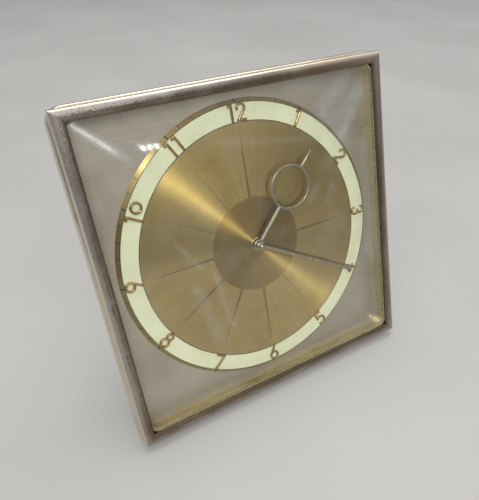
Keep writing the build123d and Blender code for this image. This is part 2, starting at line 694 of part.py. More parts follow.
with BuildPart() as escape_wheel:
    with BuildSketch(at(*ESCAPE, M_BACK + 0.3)):
        Circle(0.5)
    extrude(amount=M_FRONT - M_BACK - 0.6)
    with BuildSketch(at(*ESCAPE, -28.4)):
        with BuildLine():
            Polyline(*pinion_teeth(ESCAPE_PIN_N, FOURTH_M, TO_ESCAPE + 180.0), close=True)
        make_face()
    extrude(amount=2.3)
    with BuildSketch(at(*ESCAPE, -25.4)):
        with BuildLine():
            points = []
            for k in range(ESCAPE_N):
                a = 24.0 * k
                points += [polar(5.4, a), polar(ESCAPE_R, a + 5.0), polar(ESCAPE_R, a + 7.0), polar(5.4, a + 9.0)]
            Polyline(*points, close=True)
        make_face()
    extrude(amount=0.6)
escape_wheel.part.label = "escape_wheel"
export_step(escape_wheel.part, "parts/escape_wheel.step")

# Anchor with two arms and a fork, its pallets standing clear of the escape wheel.
ARMS = [polar(8.5, TO_PALLET - 34, ESCAPE), polar(8.5, TO_PALLET + 34, ESCAPE), polar(7.0, TO_BALANCE, PALLET)]
with BuildPart() as pallet_lever:
    with BuildSketch(at(*PALLET, M_BACK + 0.3)):
        Circle(0.5)
    extrude(amount=M_FRONT - M_BACK - 0.6)
    with BuildSketch(at(0, 0, -25.4)):
        for end in ARMS:
            with Locations(((PALLET[0] + end[0]) / 2, (PALLET[1] + end[1]) / 2)):
                SlotCenterToCenter(
                    math.dist(PALLET, end), 1.2,
                    rotation=math.degrees(math.atan2(end[1] - PALLET[1], end[0] - PALLET[0])),
                )
        with Locations(PALLET):
            Circle(1.3)
    extrude(amount=0.8)
pallet_lever.part.label = "pallet_lever"
export_step(pallet_lever.part, "parts/pallet_lever.step")

with BuildPart() as balance_wheel:
    with BuildSketch(at(*BALANCE, M_BACK + 0.3)):
        Circle(0.5)
    extrude(amount=M_FRONT - M_BACK - 0.6)
    with BuildSketch(at(*BALANCE, -29.4)):
        Circle(8.8)
        Circle(7.4, mode=Mode.SUBTRACT)
        Circle(1.6)
        with PolarLocations(4.3, 3):
            Rectangle(7.0, 1.2)
    extrude(amount=1.2)
    with BuildSketch(at(*BALANCE, -27.0)):
        Circle(1.6)
    extrude(amount=0.7)
balance_wheel.part.label = "balance_wheel"
export_step(balance_wheel.part, "parts/balance_wheel.step")

# Hairspring with the stud that holds its outer end on the back plate.
with BuildPart() as hairspring:
    with BuildSketch(at(*BALANCE, -31.2)):
        with BuildLine():
            Polyline(*spiral(1.4, 5.4, 5, 0.15, 0.0), close=True)
        make_face()
    extrude(amount=0.5)
    with BuildSketch(at(BALANCE[0] + 5.7, BALANCE[1], M_BACK_IN)):
        Rectangle(0.9, 1.4)
    extrude(amount=1.4)
hairspring.part.label = "hairspring"
export_step(hairspring.part, "parts/hairspring.step")

# ---------------------------------------------------------------- back
# Round drum with a flange, screwed to the back of the case.
with BuildPart() as back_cover:
    with BuildSketch(side(0, 0, 0)):
        with BuildLine():
            Polyline(
                (0, COVER_BACK), (COVER_R - 2.0, COVER_BACK), (COVER_R, COVER_BACK + 2.0), (COVER_R, CASE_BACK - 1.0),
                (COVER_FLANGE_R, CASE_BACK - 1.0), (COVER_FLANGE_R, CASE_BACK), (COVER_R - COVER_WALL, CASE_BACK),
                (COVER_R - COVER_WALL, COVER_BACK + 2.4), (COVER_R - 2.4, COVER_BACK + COVER_WALL),
                (0, COVER_BACK + COVER_WALL), close=True,
            )
        make_face()
    revolve(axis=axis_at(0, 0))
    with BuildSketch(at(0, 0, COVER_BACK)):
        Circle(1.3)
        with Locations(BARREL):
            Circle(3.2)
        with Locations((-6.5, -22.5), (6.5, -22.5)):
            Circle(0.9 + SET)
    extrude(amount=COVER_WALL, mode=Mode.SUBTRACT)
    with BuildSketch(at(0, 0, CASE_BACK - 1.0)):
        with Locations(*COVER_SCREWS):
            Circle(1.0 + SET)
    extrude(amount=1.0, mode=Mode.SUBTRACT)
back_cover.part.label = "back_cover"
export_step(back_cover.part, "parts/back_cover.step")

with BuildPart() as cover_screws:
    with BuildSketch(at(0, 0, CASE_BACK - 2.2)):
        with Locations(*COVER_SCREWS):
            Circle(2.1)
    extrude(amount=1.2)
    with BuildSketch(at(0, 0, CASE_BACK - 1.0)):
        with Locations(*COVER_SCREWS):
            Circle(1.0)
    extrude(amount=2.2)
    with BuildSketch(at(0, 0, CASE_BACK - 2.2)):
        with Locations(*COVER_SCREWS):
            Rectangle(5.0, 0.6)
    extrude(amount=0.6, mode=Mode.SUBTRACT)
cover_screws.part.label = "cover_screws"
export_step(cover_screws.part, "parts/cover_screws.step")

with BuildPart() as set_knob:
    with BuildSketch(at(0, 0, -46.0)):
        with BuildLine():
            Polyline(*teeth(30, 0.36, 0.5, 0.9, 0.7, 0.35, 0.0), close=True)
        make_face()
    extrude(amount=6.0)
    with BuildSketch(at(0, 0, -40.0)):
        Circle(2.4)
    extrude(amount=1.6)
    with BuildSketch(at(0, 0, -44.1)):
        Circle(ARBOR_R + SET)
    extrude(amount=6.0, mode=Mode.SUBTRACT)
set_knob.part.label = "set_knob"
export_step(set_knob.part, "parts/set_knob.step")

# Winding key: pipe on the arbor and two flat lobes.
with BuildPart() as winding_key:
    with BuildSketch(at(*BARREL, -45.0)):
        Circle(2.9)
    extrude(amount=8.4)
    with BuildSketch(side(*BARREL, 0).offset(-0.8)):
        with Locations((-5.6, -48.6), (5.6, -48.6)):
            Circle(5.2)
        with Locations((0, -46.2)):
            Rectangle(9.0, 5.0)
        with Locations((-5.9, -48.9), (5.9, -48.9)):
            Circle(2.0, mode=Mode.SUBTRACT)
    extrude(amount=1.6)
    with BuildSketch(at(*BARREL, -42.2)):
        Circle(2.0 + SET)
    extrude(amount=6.0, mode=Mode.SUBTRACT)
winding_key.part.label = "winding_key"
export_step(winding_key.part, "parts/winding_key.step")

# ---------------------------------------------------------------- strut
HINGE = FACE.from_local_coords(Vector(0, HINGE_Y, HINGE_Z))
ACROSS = Plane(origin=HINGE, x_dir=FACE.y_dir, z_dir=(1, 0, 0))     # x up the face, y into the room behind
INWARD = FACE.z_dir.dot(ACROSS.y_dir)                               # sign of the face's z in that plane

with BuildPart() as strut_bracket:
    with BuildSketch(at(0, 0, COVER_BACK)):
        with Locations((0, -16.5)):
            Rectangle(20.0, 17.0)
        with Locations((-6.5, -22.5), (6.5, -22.5)):
            Circle(0.9 + SET, mode=Mode.SUBTRACT)
    extrude(amount=-1.2)
    for x0 in (-8.6, 6.4):
        with BuildSketch(ACROSS.offset(x0)):
            Circle(2.3)
            with Locations((0, INWARD * 1.6)):
                Rectangle(4.6, 3.2)
        extrude(amount=2.2)
    with BuildSketch(ACROSS.offset(-10.0)):
        Circle(1.0 + SET)
    extrude(amount=20.0, mode=Mode.SUBTRACT)
strut_bracket.part.label = "strut_bracket"
export_step(strut_bracket.part, "parts/strut_bracket.step")

with BuildPart() as bracket_screws:
    with BuildSketch(at(0, 0, COVER_BACK - 1.2)):
        with Locations((-6.5, -22.5), (6.5, -22.5)):
            Circle(1.7)
    extrude(amount=-0.8)
    with BuildSketch(at(0, 0, COVER_BACK - 1.2)):
        with Locations((-6.5, -22.5), (6.5, -22.5)):
            Circle(0.9)
    extrude(amount=2.8)
bracket_screws.part.label = "bracket_screws"
export_step(bracket_screws.part, "parts/bracket_screws.step")

with BuildPart() as hinge_pin:
    with BuildSketch(ACROSS.offset(-9.0)):
        Circle(1.0)
    extrude(amount=18.0)
hinge_pin.part.label = "hinge_pin"
export_step(hinge_pin.part, "parts/hinge_pin.step")

# Flat leg hanging from the pin, cut level where its foot pad begins.
DOWN = Vector(0, math.sin(math.radians(STRUT_ANGLE)), -math.cos(math.radians(STRUT_ANGLE)))
LEG = Plane(origin=HINGE, x_dir=(1, 0, 0), z_dir=(0, math.cos(math.radians(STRUT_ANGLE)), math.sin(math.radians(STRUT_ANGLE))))
LEG_LEN = (HINGE.Z - FOOT_H) / -DOWN.Z
with BuildPart() as strut_leg:
    with BuildSketch(ACROSS.offset(-5.9)):
        Circle(2.2)
    extrude(amount=11.8)
    with BuildSketch(LEG.offset(-STRUT_T / 2)):
        with BuildLine():
            Polyline(
                (-5.9, 0), (-5.9, 5.0), (-STRUT_W / 2, 10.0), (-STRUT_W / 2, LEG_LEN + 2.0),
                (STRUT_W / 2, LEG_LEN + 2.0), (STRUT_W / 2, 10.0), (5.9, 5.0), (5.9, 0), close=True,
            )
        make_face()
    extrude(amount=STRUT_T)
    split(bisect_by=Plane.XY.offset(FOOT_H), keep=Keep.TOP)
    with BuildSketch(ACROSS.offset(-8.0)):
        Circle(1.0 + RUN)
    extrude(amount=16.0, mode=Mode.SUBTRACT)
strut_leg.part.label = "strut_leg"
export_step(strut_leg.part, "parts/strut_leg.step")

FOOT = HINGE + DOWN * LEG_LEN
with BuildPart() as strut_foot:
    with BuildSketch(Plane(origin=(0, FOOT.Y, 0))):
        RectangleRounded(STRUT_W + 2.0, 7.0, 2.0)
    extrude(amount=FOOT_H)
strut_foot.part.label = "strut_foot"
export_step(strut_foot.part, "parts/strut_foot.step")

print("origin of the face", tuple(FACE.origin), "lift", LIFT)
print("hinge", tuple(HINGE), "foot", tuple(FOOT), "leg", LEG_LEN)
print("barrel", BARREL, "third", THIRD, "fourth", FOURTH, "escape", ESCAPE, "pallet", PALLET, "balance", BALANCE, "minute", MINUTE)
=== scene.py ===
import math

import bmesh
import bpy
from mathutils import Matrix, Vector

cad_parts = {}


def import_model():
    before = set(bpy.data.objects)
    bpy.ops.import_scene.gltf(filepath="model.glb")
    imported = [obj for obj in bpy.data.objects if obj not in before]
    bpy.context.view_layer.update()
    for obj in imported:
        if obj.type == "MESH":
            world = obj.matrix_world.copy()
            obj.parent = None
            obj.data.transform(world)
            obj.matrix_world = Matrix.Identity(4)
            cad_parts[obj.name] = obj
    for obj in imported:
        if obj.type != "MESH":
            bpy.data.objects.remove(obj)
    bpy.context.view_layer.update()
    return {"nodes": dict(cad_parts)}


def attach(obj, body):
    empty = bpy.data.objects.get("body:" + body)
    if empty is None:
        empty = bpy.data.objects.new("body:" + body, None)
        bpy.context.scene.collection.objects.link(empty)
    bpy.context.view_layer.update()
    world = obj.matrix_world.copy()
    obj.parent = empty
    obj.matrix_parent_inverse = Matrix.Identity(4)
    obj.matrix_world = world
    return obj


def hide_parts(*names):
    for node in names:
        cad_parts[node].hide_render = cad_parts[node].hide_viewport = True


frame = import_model()
nodes = frame["nodes"]

# ------------------------------------------------------------------ frame of the dial
# Millimetres: x to the right, y up along the face, z out of the face.
LEAN = math.radians(18.0)
S, C = math.sin(LEAN), math.cos(LEAN)
ORIGIN = Vector((0.0, -17.6977, 74.27036685))
EX, EY, EZ = Vector((1, 0, 0)), Vector((0, S, C)), Vector((0, -C, S))


def world(x, y, z):
    return (ORIGIN + EX * x + EY * y + EZ * z) / 1000.0


def polar(r, clock):
    """Point at a distance from the middle, clockwise from twelve."""
    a = math.radians(clock)
    return r * math.sin(a), r * math.cos(a)


# ------------------------------------------------------------------ node helpers
class Mat:
    """A node material with short ways to add nodes."""

    def __init__(self, name):
        self.mat = bpy.data.materials.new(name)
        self.mat.use_nodes = True
        self.nt = self.mat.node_tree
        self.nt.nodes.clear()
        self.out = self.nt.nodes.new("ShaderNodeOutputMaterial")
        self._local = None

    def node(self, kind, **props):
        n = self.nt.nodes.new(kind)
        for key, value in props.items():
            setattr(n, key, value)
        return n

    def put(self, socket, value):
        if isinstance(value, bpy.types.NodeSocket):
            self.nt.links.new(value, socket)
        else:
            socket.default_value = value

    def math(self, op, a, b=None, c=None, clamp=False):
        n = self.node("ShaderNodeMath", operation=op, use_clamp=clamp)
        for socket, value in zip(n.inputs, (a, b, c)):
            if value is not None:
                self.put(socket, value)
        return n.outputs[0]

    def vmath(self, op, a, b=None, scale=None):
        n = self.node("ShaderNodeVectorMath", operation=op)
        self.put(n.inputs[0], a)
        if b is not None:
            self.put(n.inputs[1], b)
        if scale is not None:
            self.put(n.inputs["Scale"], scale)
        return n.outputs["Value"] if op in ("DOT_PRODUCT", "LENGTH", "DISTANCE") else n.outputs["Vector"]

    def combine(self, x, y, z):
        n = self.node("ShaderNodeCombineXYZ")
        for socket, value in zip(n.inputs, (x, y, z)):
            self.put(socket, value)
        return n.outputs[0]

    def local(self):
        """x, y, z of the dial's frame in millimetres, and the same as one vector."""
        if self._local is None:
            tc = self.node("ShaderNodeTexCoord")
            p = self.vmath("SUBTRACT", self.vmath("SCALE", tc.outputs["Object"], scale=1000.0), tuple(ORIGIN))
            x = self.vmath("DOT_PRODUCT", p, tuple(EX))
            y = self.vmath("DOT_PRODUCT", p, tuple(EY))
            z = self.vmath("DOT_PRODUCT", p, tuple(EZ))
            self._local = (x, y, z, self.combine(x, y, z))
        return self._local

    def noise(self, vector, scale, detail=3.0, rough=0.55, distortion=0.0):
        n = self.node("ShaderNodeTexNoise")
        self.put(n.inputs["Vector"], vector)
        n.inputs["Scale"].default_value = scale
        n.inputs["Detail"].default_value = detail
        n.inputs["Roughness"].default_value = rough
        n.inputs["Distortion"].default_value = distortion
        return n.outputs["Fac"]

    def ramp(self, fac, stops, ease="EASE"):
        n = self.node("ShaderNodeValToRGB")
        n.color_ramp.interpolation = ease
        e = n.color_ramp.elements
        while len(e) < len(stops):
            e.new(0.5)
        for item, (pos, col) in zip(e, stops):
            item.position = pos
            item.color = (*col, 1.0) if len(col) == 3 else col
        self.put(n.inputs[0], fac)
        return n.outputs["Color"]

    def map(self, value, a, b, c=0.0, d=1.0, smooth=True):
        n = self.node("ShaderNodeMapRange", interpolation_type="SMOOTHSTEP" if smooth else "LINEAR")
        self.put(n.inputs["Value"], value)
        for key, v in (("From Min", a), ("From Max", b), ("To Min", c), ("To Max", d)):
            n.inputs[key].default_value = v
        return n.outputs["Result"]

    def mix(self, fac, a, b, blend="MIX"):
        n = self.node("ShaderNodeMix", data_type="RGBA", blend_type=blend)
        self.put(n.inputs[0], fac)
        for socket, value in ((n.inputs[6], a), (n.inputs[7], b)):
            if isinstance(value, tuple) and len(value) == 3:
                value = (*value, 1.0)
            self.put(socket, value)
        return n.outputs[2]

    def bump(self, height, strength, distance=0.0002):
        n = self.node("ShaderNodeBump")
        n.inputs["Strength"].default_value = strength
        n.inputs["Distance"].default_value = distance
        self.put(n.inputs["Height"], height)
        return n.outputs["Normal"]

    def principled(self, **sockets):
        n = self.node("ShaderNodeBsdfPrincipled")
        for key, value in sockets.items():
            socket = n.inputs[key.replace("_", " ")]
            if isinstance(value, tuple) and len(value) == 3 and socket.type == "RGBA":
                value = (*value, 1.0)
            self.put(socket, value)
        return n

    def done(self, shader):
        self.put(self.out.inputs["Surface"], shader.outputs[0] if hasattr(shader, "outputs") else shader)
        return self.mat


# ------------------------------------------------------------------ materials
def bezel_metal():
    """Polished brass with silvery plating: drawn along each bar, dark brown at the inner edge from dirt and painted
    shade, bright at the outer one from wear and a painted highlight, lighter on the outer half and at the upper corners
    from a painted reflection, spotted near one corner.
    """
    m = Mat("worn_bezel")
    x, y, z, p = m.local()
    ax, ay = m.math("ABSOLUTE", x), m.math("ABSOLUTE", y)
    reach = m.math("MAXIMUM", ax, ay)
    upright = m.math("GREATER_THAN", ax, ay)
    along = m.math("ADD", m.math("MULTIPLY", upright, y), m.math("MULTIPLY", m.math("SUBTRACT", 1.0, upright), x))
    drawn = m.noise(m.combine(m.math("MULTIPLY", reach, 1.3), m.math("MULTIPLY", along, 0.06), m.math("MULTIPLY", upright, 7.0)), 1.0, 4.0, 0.6, 0.2)
    blotch = m.noise(p, 0.055, 4.0, 0.6, 0.5)
    fine = m.noise(p, 0.55, 4.0, 0.65, 0.3)
    pepper = m.noise(p, 1.1, 3.0, 0.6)
    tone = m.math("ADD", m.math("MULTIPLY", blotch, 0.42), m.math("ADD", m.math("MULTIPLY", drawn, 0.38), m.math("MULTIPLY", fine, 0.20)))
    base = m.ramp(tone, [(0.38, (0.190, 0.132, 0.088)), (0.47, (0.290, 0.222, 0.162)), (0.55, (0.385, 0.312, 0.242)), (0.64, (0.500, 0.432, 0.358))])
    # silvery plating left on the outer half of each bar, and a painted reflection lightening that half
    plating_and_sheen = m.map(m.math("ADD", reach, m.math("ADD", m.math("MULTIPLY", m.math("SUBTRACT", fine, 0.5), 1.3), m.math("MULTIPLY", m.math("SUBTRACT", blotch, 0.5), 2.2))), 70.9, 72.1)
    base = m.mix(m.math("MULTIPLY", plating_and_sheen, 0.75), base, m.mix(tone, (0.400, 0.362, 0.328), (0.720, 0.690, 0.660)))
    # warmer towards the upper right
    warm = m.map(m.math("ADD", x, m.math("MULTIPLY", y, 0.7)), 0.0, 120.0, 0.0, 0.75)
    base = m.mix(warm, base, m.mix(m.math("MULTIPLY", m.math("ADD", tone, m.map(reach, 70.0, 72.6, -0.2, 0.3)), 0.9), (0.200, 0.130, 0.078), (0.560, 0.425, 0.300)))
    # duller and darker towards the lower edge
    base = m.mix(m.map(y, 55.0, -60.0, 0.0, 0.42), base, (0.130, 0.098, 0.072))
    # painted reflection: lighter at the upper corners; tarnished in the middle of the top bar
    upper_corner_sheen = m.math("MULTIPLY", m.map(ax, 40.0, 72.0), m.map(y, 10.0, 50.0, 0.0, 0.50))
    base = m.mix(upper_corner_sheen, base, m.mix(tone, (0.400, 0.335, 0.280), (0.760, 0.690, 0.610)))
    tarnish = m.math("MULTIPLY", m.map(m.math("ADD", ax, m.math("MULTIPLY", m.math("SUBTRACT", blotch, 0.5), 60.0)), 44.0, 6.0), m.map(y, 60.0, 68.0, 0.0, 0.45))
    base = m.mix(tarnish, base, (0.140, 0.102, 0.072))
    # spots gather towards the upper left corner
    corner = m.map(m.math("SUBTRACT", y, x), 50.0, 140.0, 0.0, 0.085)
    pits = m.map(m.math("ADD", pepper, corner), 0.62, 0.70)
    ragged = m.math("ADD", reach, m.math("MULTIPLY", m.math("SUBTRACT", fine, 0.5), 1.0))
    # bright along the outer edge: wear, and a painted highlight
    rub_and_sheen = m.map(m.math("ADD", reach, m.math("MULTIPLY", m.math("SUBTRACT", fine, 0.5), 0.35)), 72.9, 73.7)
    pits = m.math("MULTIPLY", pits, m.math("SUBTRACT", 1.0, rub_and_sheen))
    base = m.mix(m.math("MULTIPLY", pits, 0.55), base, (0.110, 0.080, 0.052))
    # dark brown along the inner edge beside the crystal: dirt, and painted shade
    brown = m.map(ragged, 70.6, 69.3)
    base = m.mix(m.math("MULTIPLY", brown, 0.72), base, (0.120, 0.086, 0.056))
    base = m.mix(m.math("MULTIPLY", rub_and_sheen, 0.7), base, (0.800, 0.735, 0.630))
    rough = m.math("ADD", m.map(drawn, 0.35, 0.65, 0.25, 0.20), m.math("MULTIPLY", pits, 0.10))
    normal = m.bump(m.math("SUBTRACT", m.math("MULTIPLY", drawn, 0.15), m.math("MULTIPLY", pits, 0.15)), 0.010, 0.00005)
    return m.done(m.principled(Base_Color=base, Metallic=1.0, Roughness=rough, Normal=normal))


def case_metal():
    """Polished pale brass with faint drawing lines and a few spots."""
    m = Mat("polished_case")
    x, y, z, p = m.local()
    around = m.combine(m.math("MULTIPLY", x, 0.12), m.math("MULTIPLY", y, 0.12), m.math("MULTIPLY", z, 5.0))
    lines = m.noise(around, 1.0, 3.0, 0.6)
    blotch = m.noise(p, 0.05, 4.0, 0.6, 0.4)
    base = m.ramp(m.math("ADD", m.math("MULTIPLY", blotch, 0.7), m.math("MULTIPLY", lines, 0.3)),
                  [(0.32, (0.490, 0.405, 0.270)), (0.52, (0.650, 0.585, 0.445)), (0.70, (0.740, 0.690, 0.560))])
    spots = m.map(m.noise(p, 1.3, 2.0, 0.5), 0.68, 0.75)
    base = m.mix(m.math("MULTIPLY", spots, 0.5), base, (0.24, 0.16, 0.085))
    rough = m.map(lines, 0.3, 0.7, 0.17, 0.28)
    return m.done(m.principled(Base_Color=base, Metallic=1.0, Roughness=rough, Normal=m.bump(lines, 0.06, 0.0001)))


def frame_gold():
    m = Mat("satin_gold_frame")
    x, y, z, p = m.local()
    stretched = m.combine(m.math("MULTIPLY", x, 0.2), m.math("MULTIPLY", y, 0.2), m.math("MULTIPLY", z, 4.0))
    lines = m.noise(stretched, 1.0, 3.0, 0.6)
    blotch = m.noise(p, 0.07, 3.0, 0.55)
    base = m.ramp(m.math("ADD", m.math("MULTIPLY", blotch, 0.6), m.math("MULTIPLY", lines, 0.4)),
                  [(0.34, (0.445, 0.368, 0.190)), (0.52, (0.620, 0.530, 0.305)), (0.68, (0.770, 0.690, 0.440))])
    # painted shade: darker towards the left
    base = m.mix(m.map(x, 45.0, -70.0, 0.0, 0.55), base, (0.300, 0.225, 0.095))
    # painted highlights: bright golden glints in patches along the frame
    painted_glints = m.map(m.noise(m.combine(m.math("MULTIPLY", x, 0.045), m.math("MULTIPLY", y, 0.045), m.math("MULTIPLY", z, 1.5)), 1.0, 3.0, 0.6), 0.50, 0.64)
    base = m.mix(m.math("MULTIPLY", painted_glints, 0.62), base, (0.930, 0.815, 0.460))
    # painted light: lighter and paler towards the right
    base = m.mix(m.map(x, 40.0, 66.0, 0.0, 0.45), base, (0.860, 0.800, 0.600))
    return m.done(m.principled(Base_Color=base, Metallic=1.0, Roughness=m.map(lines, 0.3, 0.7, 0.24, 0.36)))


def plate_silver():
    m = Mat("brushed_plate")
    x, y, z, p = m.local()
    grain = m.noise(m.combine(m.math("MULTIPLY", x, 0.05), m.math("MULTIPLY", y, 4.0), z), 1.0, 3.0, 0.65)
    fine = m.noise(p, 3.0, 2.0, 0.6)
    cloud = m.noise(p, 0.03, 3.0, 0.55)
    tone = m.math("ADD", m.math("MULTIPLY", cloud, 0.55), m.math("ADD", m.math("MULTIPLY", grain, 0.30), m.math("MULTIPLY", fine, 0.15)))
    base = m.ramp(tone, [(0.36, (0.475, 0.402, 0.335)), (0.52, (0.585, 0.510, 0.435)), (0.66, (0.675, 0.612, 0.540))])
    rough = m.map(grain, 0.3, 0.7, 0.42, 0.54)
    return m.done(m.principled(Base_Color=base, Metallic=0.85, Roughness=rough, Normal=m.bump(grain, 0.05, 0.0001)))


def sunburst(name, low, mid, high, rough):
    """Turned metal under lacquer: fine rings, a slight change round the dial, highlights along the radius."""
    m = Mat(name)
    x, y, z, p = m.local()
    radius = m.math("SQRT", m.math("ADD", m.math("MULTIPLY", x, x), m.math("MULTIPLY", y, y)))
    turn = m.math("ARCTAN2", x, y)
    rings = m.noise(m.combine(m.math("MULTIPLY", radius, 5.0), m.math("MULTIPLY", turn, 0.6), 0.0), 1.0, 3.0, 0.65)
    rays = m.noise(m.combine(m.math("MULTIPLY", m.math("COSINE", turn), 16.0), m.math("MULTIPLY", m.math("SINE", turn), 16.0), m.math("MULTIPLY", radius, 0.01)), 1.0, 3.0, 0.6)
    cloud = m.noise(p, 0.035, 4.0, 0.6, 0.3)
    tone = m.math("ADD", m.math("MULTIPLY", rings, 0.25), m.math("ADD", m.math("MULTIPLY", rays, 0.17), m.math("MULTIPLY", cloud, 0.58)))
    base = m.ramp(tone, [(0.36, low), (0.50, mid), (0.64, high)])
    specks = m.map(m.noise(p, 1.1, 1.0, 0.4), 0.73, 0.78)
    base = m.mix(m.math("MULTIPLY", specks, 0.35), base, tuple(v * 0.45 for v in low))
    # painted shade: a little darker towards the right
    base = m.mix(m.map(m.math("ADD", m.math("ADD", x, m.math("MULTIPLY", y, 0.3)), m.math("MULTIPLY", m.math("SUBTRACT", cloud, 0.5), 30.0)), -10.0, 50.0, 0.0, 0.30), base, tuple(v * 0.62 for v in low))
    outward = m.vmath("ADD", m.vmath("SCALE", tuple(EX), scale=x), m.vmath("SCALE", tuple(EY), scale=y))
    tangent = m.vmath("NORMALIZE", outward)
    shader = m.principled(Base_Color=base, Metallic=1.0, Roughness=rough, Anisotropic=0.98, Tangent=tangent, Coat_Weight=0.25, Coat_Roughness=0.08)
    return m.done(shader)


def cream_paint():
    m = Mat("cream_paint")
    x, y, z, p = m.local()
    cloud = m.noise(p, 0.06, 4.0, 0.6)
    fine = m.noise(p, 1.6, 3.0, 0.6)
    base = m.ramp(m.math("ADD", m.math("MULTIPLY", cloud, 0.7), m.math("MULTIPLY", fine, 0.3)),
                  [(0.33, (0.770, 0.770, 0.500)), (0.50, (0.865, 0.880, 0.620)), (0.66, (0.900, 0.915, 0.670))])
    specks = m.map(m.noise(p, 1.4, 1.0, 0.4), 0.74, 0.79)
    base = m.mix(m.math("MULTIPLY", specks, 0.5), base, (0.30, 0.25, 0.13))
    return m.done(m.principled(Base_Color=base, Metallic=0.0, Roughness=m.map(fine, 0.3, 0.7, 0.48, 0.62), Normal=m.bump(fine, 0.06, 0.0001)))


def polished(name, low, mid, high, r0, r1, scale=0.9):
    """Polished metal with a little tarnish and fine scratches."""
    m = Mat(name)
    x, y, z, p = m.local()
    cloud = m.noise(p, scale * 0.4, 4.0, 0.6, 0.3)
    fine = m.noise(p, scale * 5.0, 3.0, 0.6)
    tone = m.math("ADD", m.math("MULTIPLY", cloud, 0.65), m.math("MULTIPLY", fine, 0.35))
    base = m.ramp(tone, [(0.33, low), (0.50, mid), (0.67, high)])
    return m.done(m.principled(Base_Color=base, Metallic=1.0, Roughness=m.map(tone, 0.35, 0.65, r1, r0), Normal=m.bump(fine, 0.05, 0.00005)))


def grained(name, low, high, r0, r1):
    """Machined sheet: straight graining and faint spots."""
    m = Mat(name)
    x, y, z, p = m.local()
    grain = m.noise(m.combine(m.math("MULTIPLY", x, 6.0), m.math("MULTIPLY", y, 0.25), m.math("MULTIPLY", z, 6.0)), 1.0, 3.0, 0.6)
    cloud = m.noise(p, 0.12, 3.0, 0.6)
    tone = m.math("ADD", m.math("MULTIPLY", cloud, 0.5), m.math("MULTIPLY", grain, 0.5))
    base = m.ramp(tone, [(0.34, low), (0.66, high)])
    return m.done(m.principled(Base_Color=base, Metallic=1.0, Roughness=m.map(grain, 0.3, 0.7, r0, r1), Normal=m.bump(grain, 0.08, 0.0001)))


def cover_metal():
    """Gold-lacquered drum: spun rings, rubbed rim and a few age spots."""
    m = Mat("lacquered_drum")
    x, y, z, p = m.local()
    radius = m.math("SQRT", m.math("ADD", m.math("MULTIPLY", x, x), m.math("MULTIPLY", y, y)))
    rings = m.noise(m.combine(m.math("MULTIPLY", radius, 2.6), m.math("MULTIPLY", z, 2.6), 0.0), 1.0, 3.0, 0.65)
    cloud = m.noise(p, 0.04, 4.0, 0.62, 0.5)
    tone = m.math("ADD", m.math("MULTIPLY", cloud, 0.62), m.math("MULTIPLY", rings, 0.38))
    base = m.ramp(tone, [(0.33, (0.270, 0.190, 0.080)), (0.50, (0.470, 0.360, 0.170)), (0.68, (0.620, 0.510, 0.290))])
    spots = m.map(m.noise(p, 0.7, 3.0, 0.5), 0.68, 0.74)
    base = m.mix(m.math("MULTIPLY", spots, 0.55), base, (0.130, 0.085, 0.045))
    rub_and_sheen = m.math("MULTIPLY", m.map(radius, 51.6, 52.9), m.map(z, -35.0, -37.5))
    base = m.mix(m.math("MULTIPLY", rub_and_sheen, 0.4), base, (0.720, 0.640, 0.430))
    return m.done(m.principled(Base_Color=base, Metallic=1.0, Roughness=m.map(tone, 0.35, 0.65, 0.44, 0.30), Normal=m.bump(rings, 0.10, 0.0001)))


def rubber():
    m = Mat("foot_rubber")
    x, y, z, p = m.local()
    fine = m.noise(p, 2.2, 4.0, 0.65)
    dust = m.noise(p, 0.3, 3.0, 0.6)
    base = m.ramp(m.math("ADD", m.math("MULTIPLY", fine, 0.4), m.math("MULTIPLY", dust, 0.6)), [(0.35, (0.016, 0.015, 0.014)), (0.68, (0.060, 0.055, 0.048))])
    return m.done(m.principled(Base_Color=base, Metallic=0.0, Roughness=m.map(fine, 0.3, 0.7, 0.62, 0.82), Normal=m.bump(fine, 0.25, 0.0001)))


def print_ink(name, low, high):
    m = Mat(name)
    x, y, z, p = m.local()
    fine = m.noise(p, 1.8, 4.0, 0.65)
    base = m.ramp(fine, [(0.34, low), (0.66, high)])
    return m.done(m.principled(Base_Color=base, Metallic=0.35, Roughness=m.map(fine, 0.3, 0.7, 0.40, 0.55)))


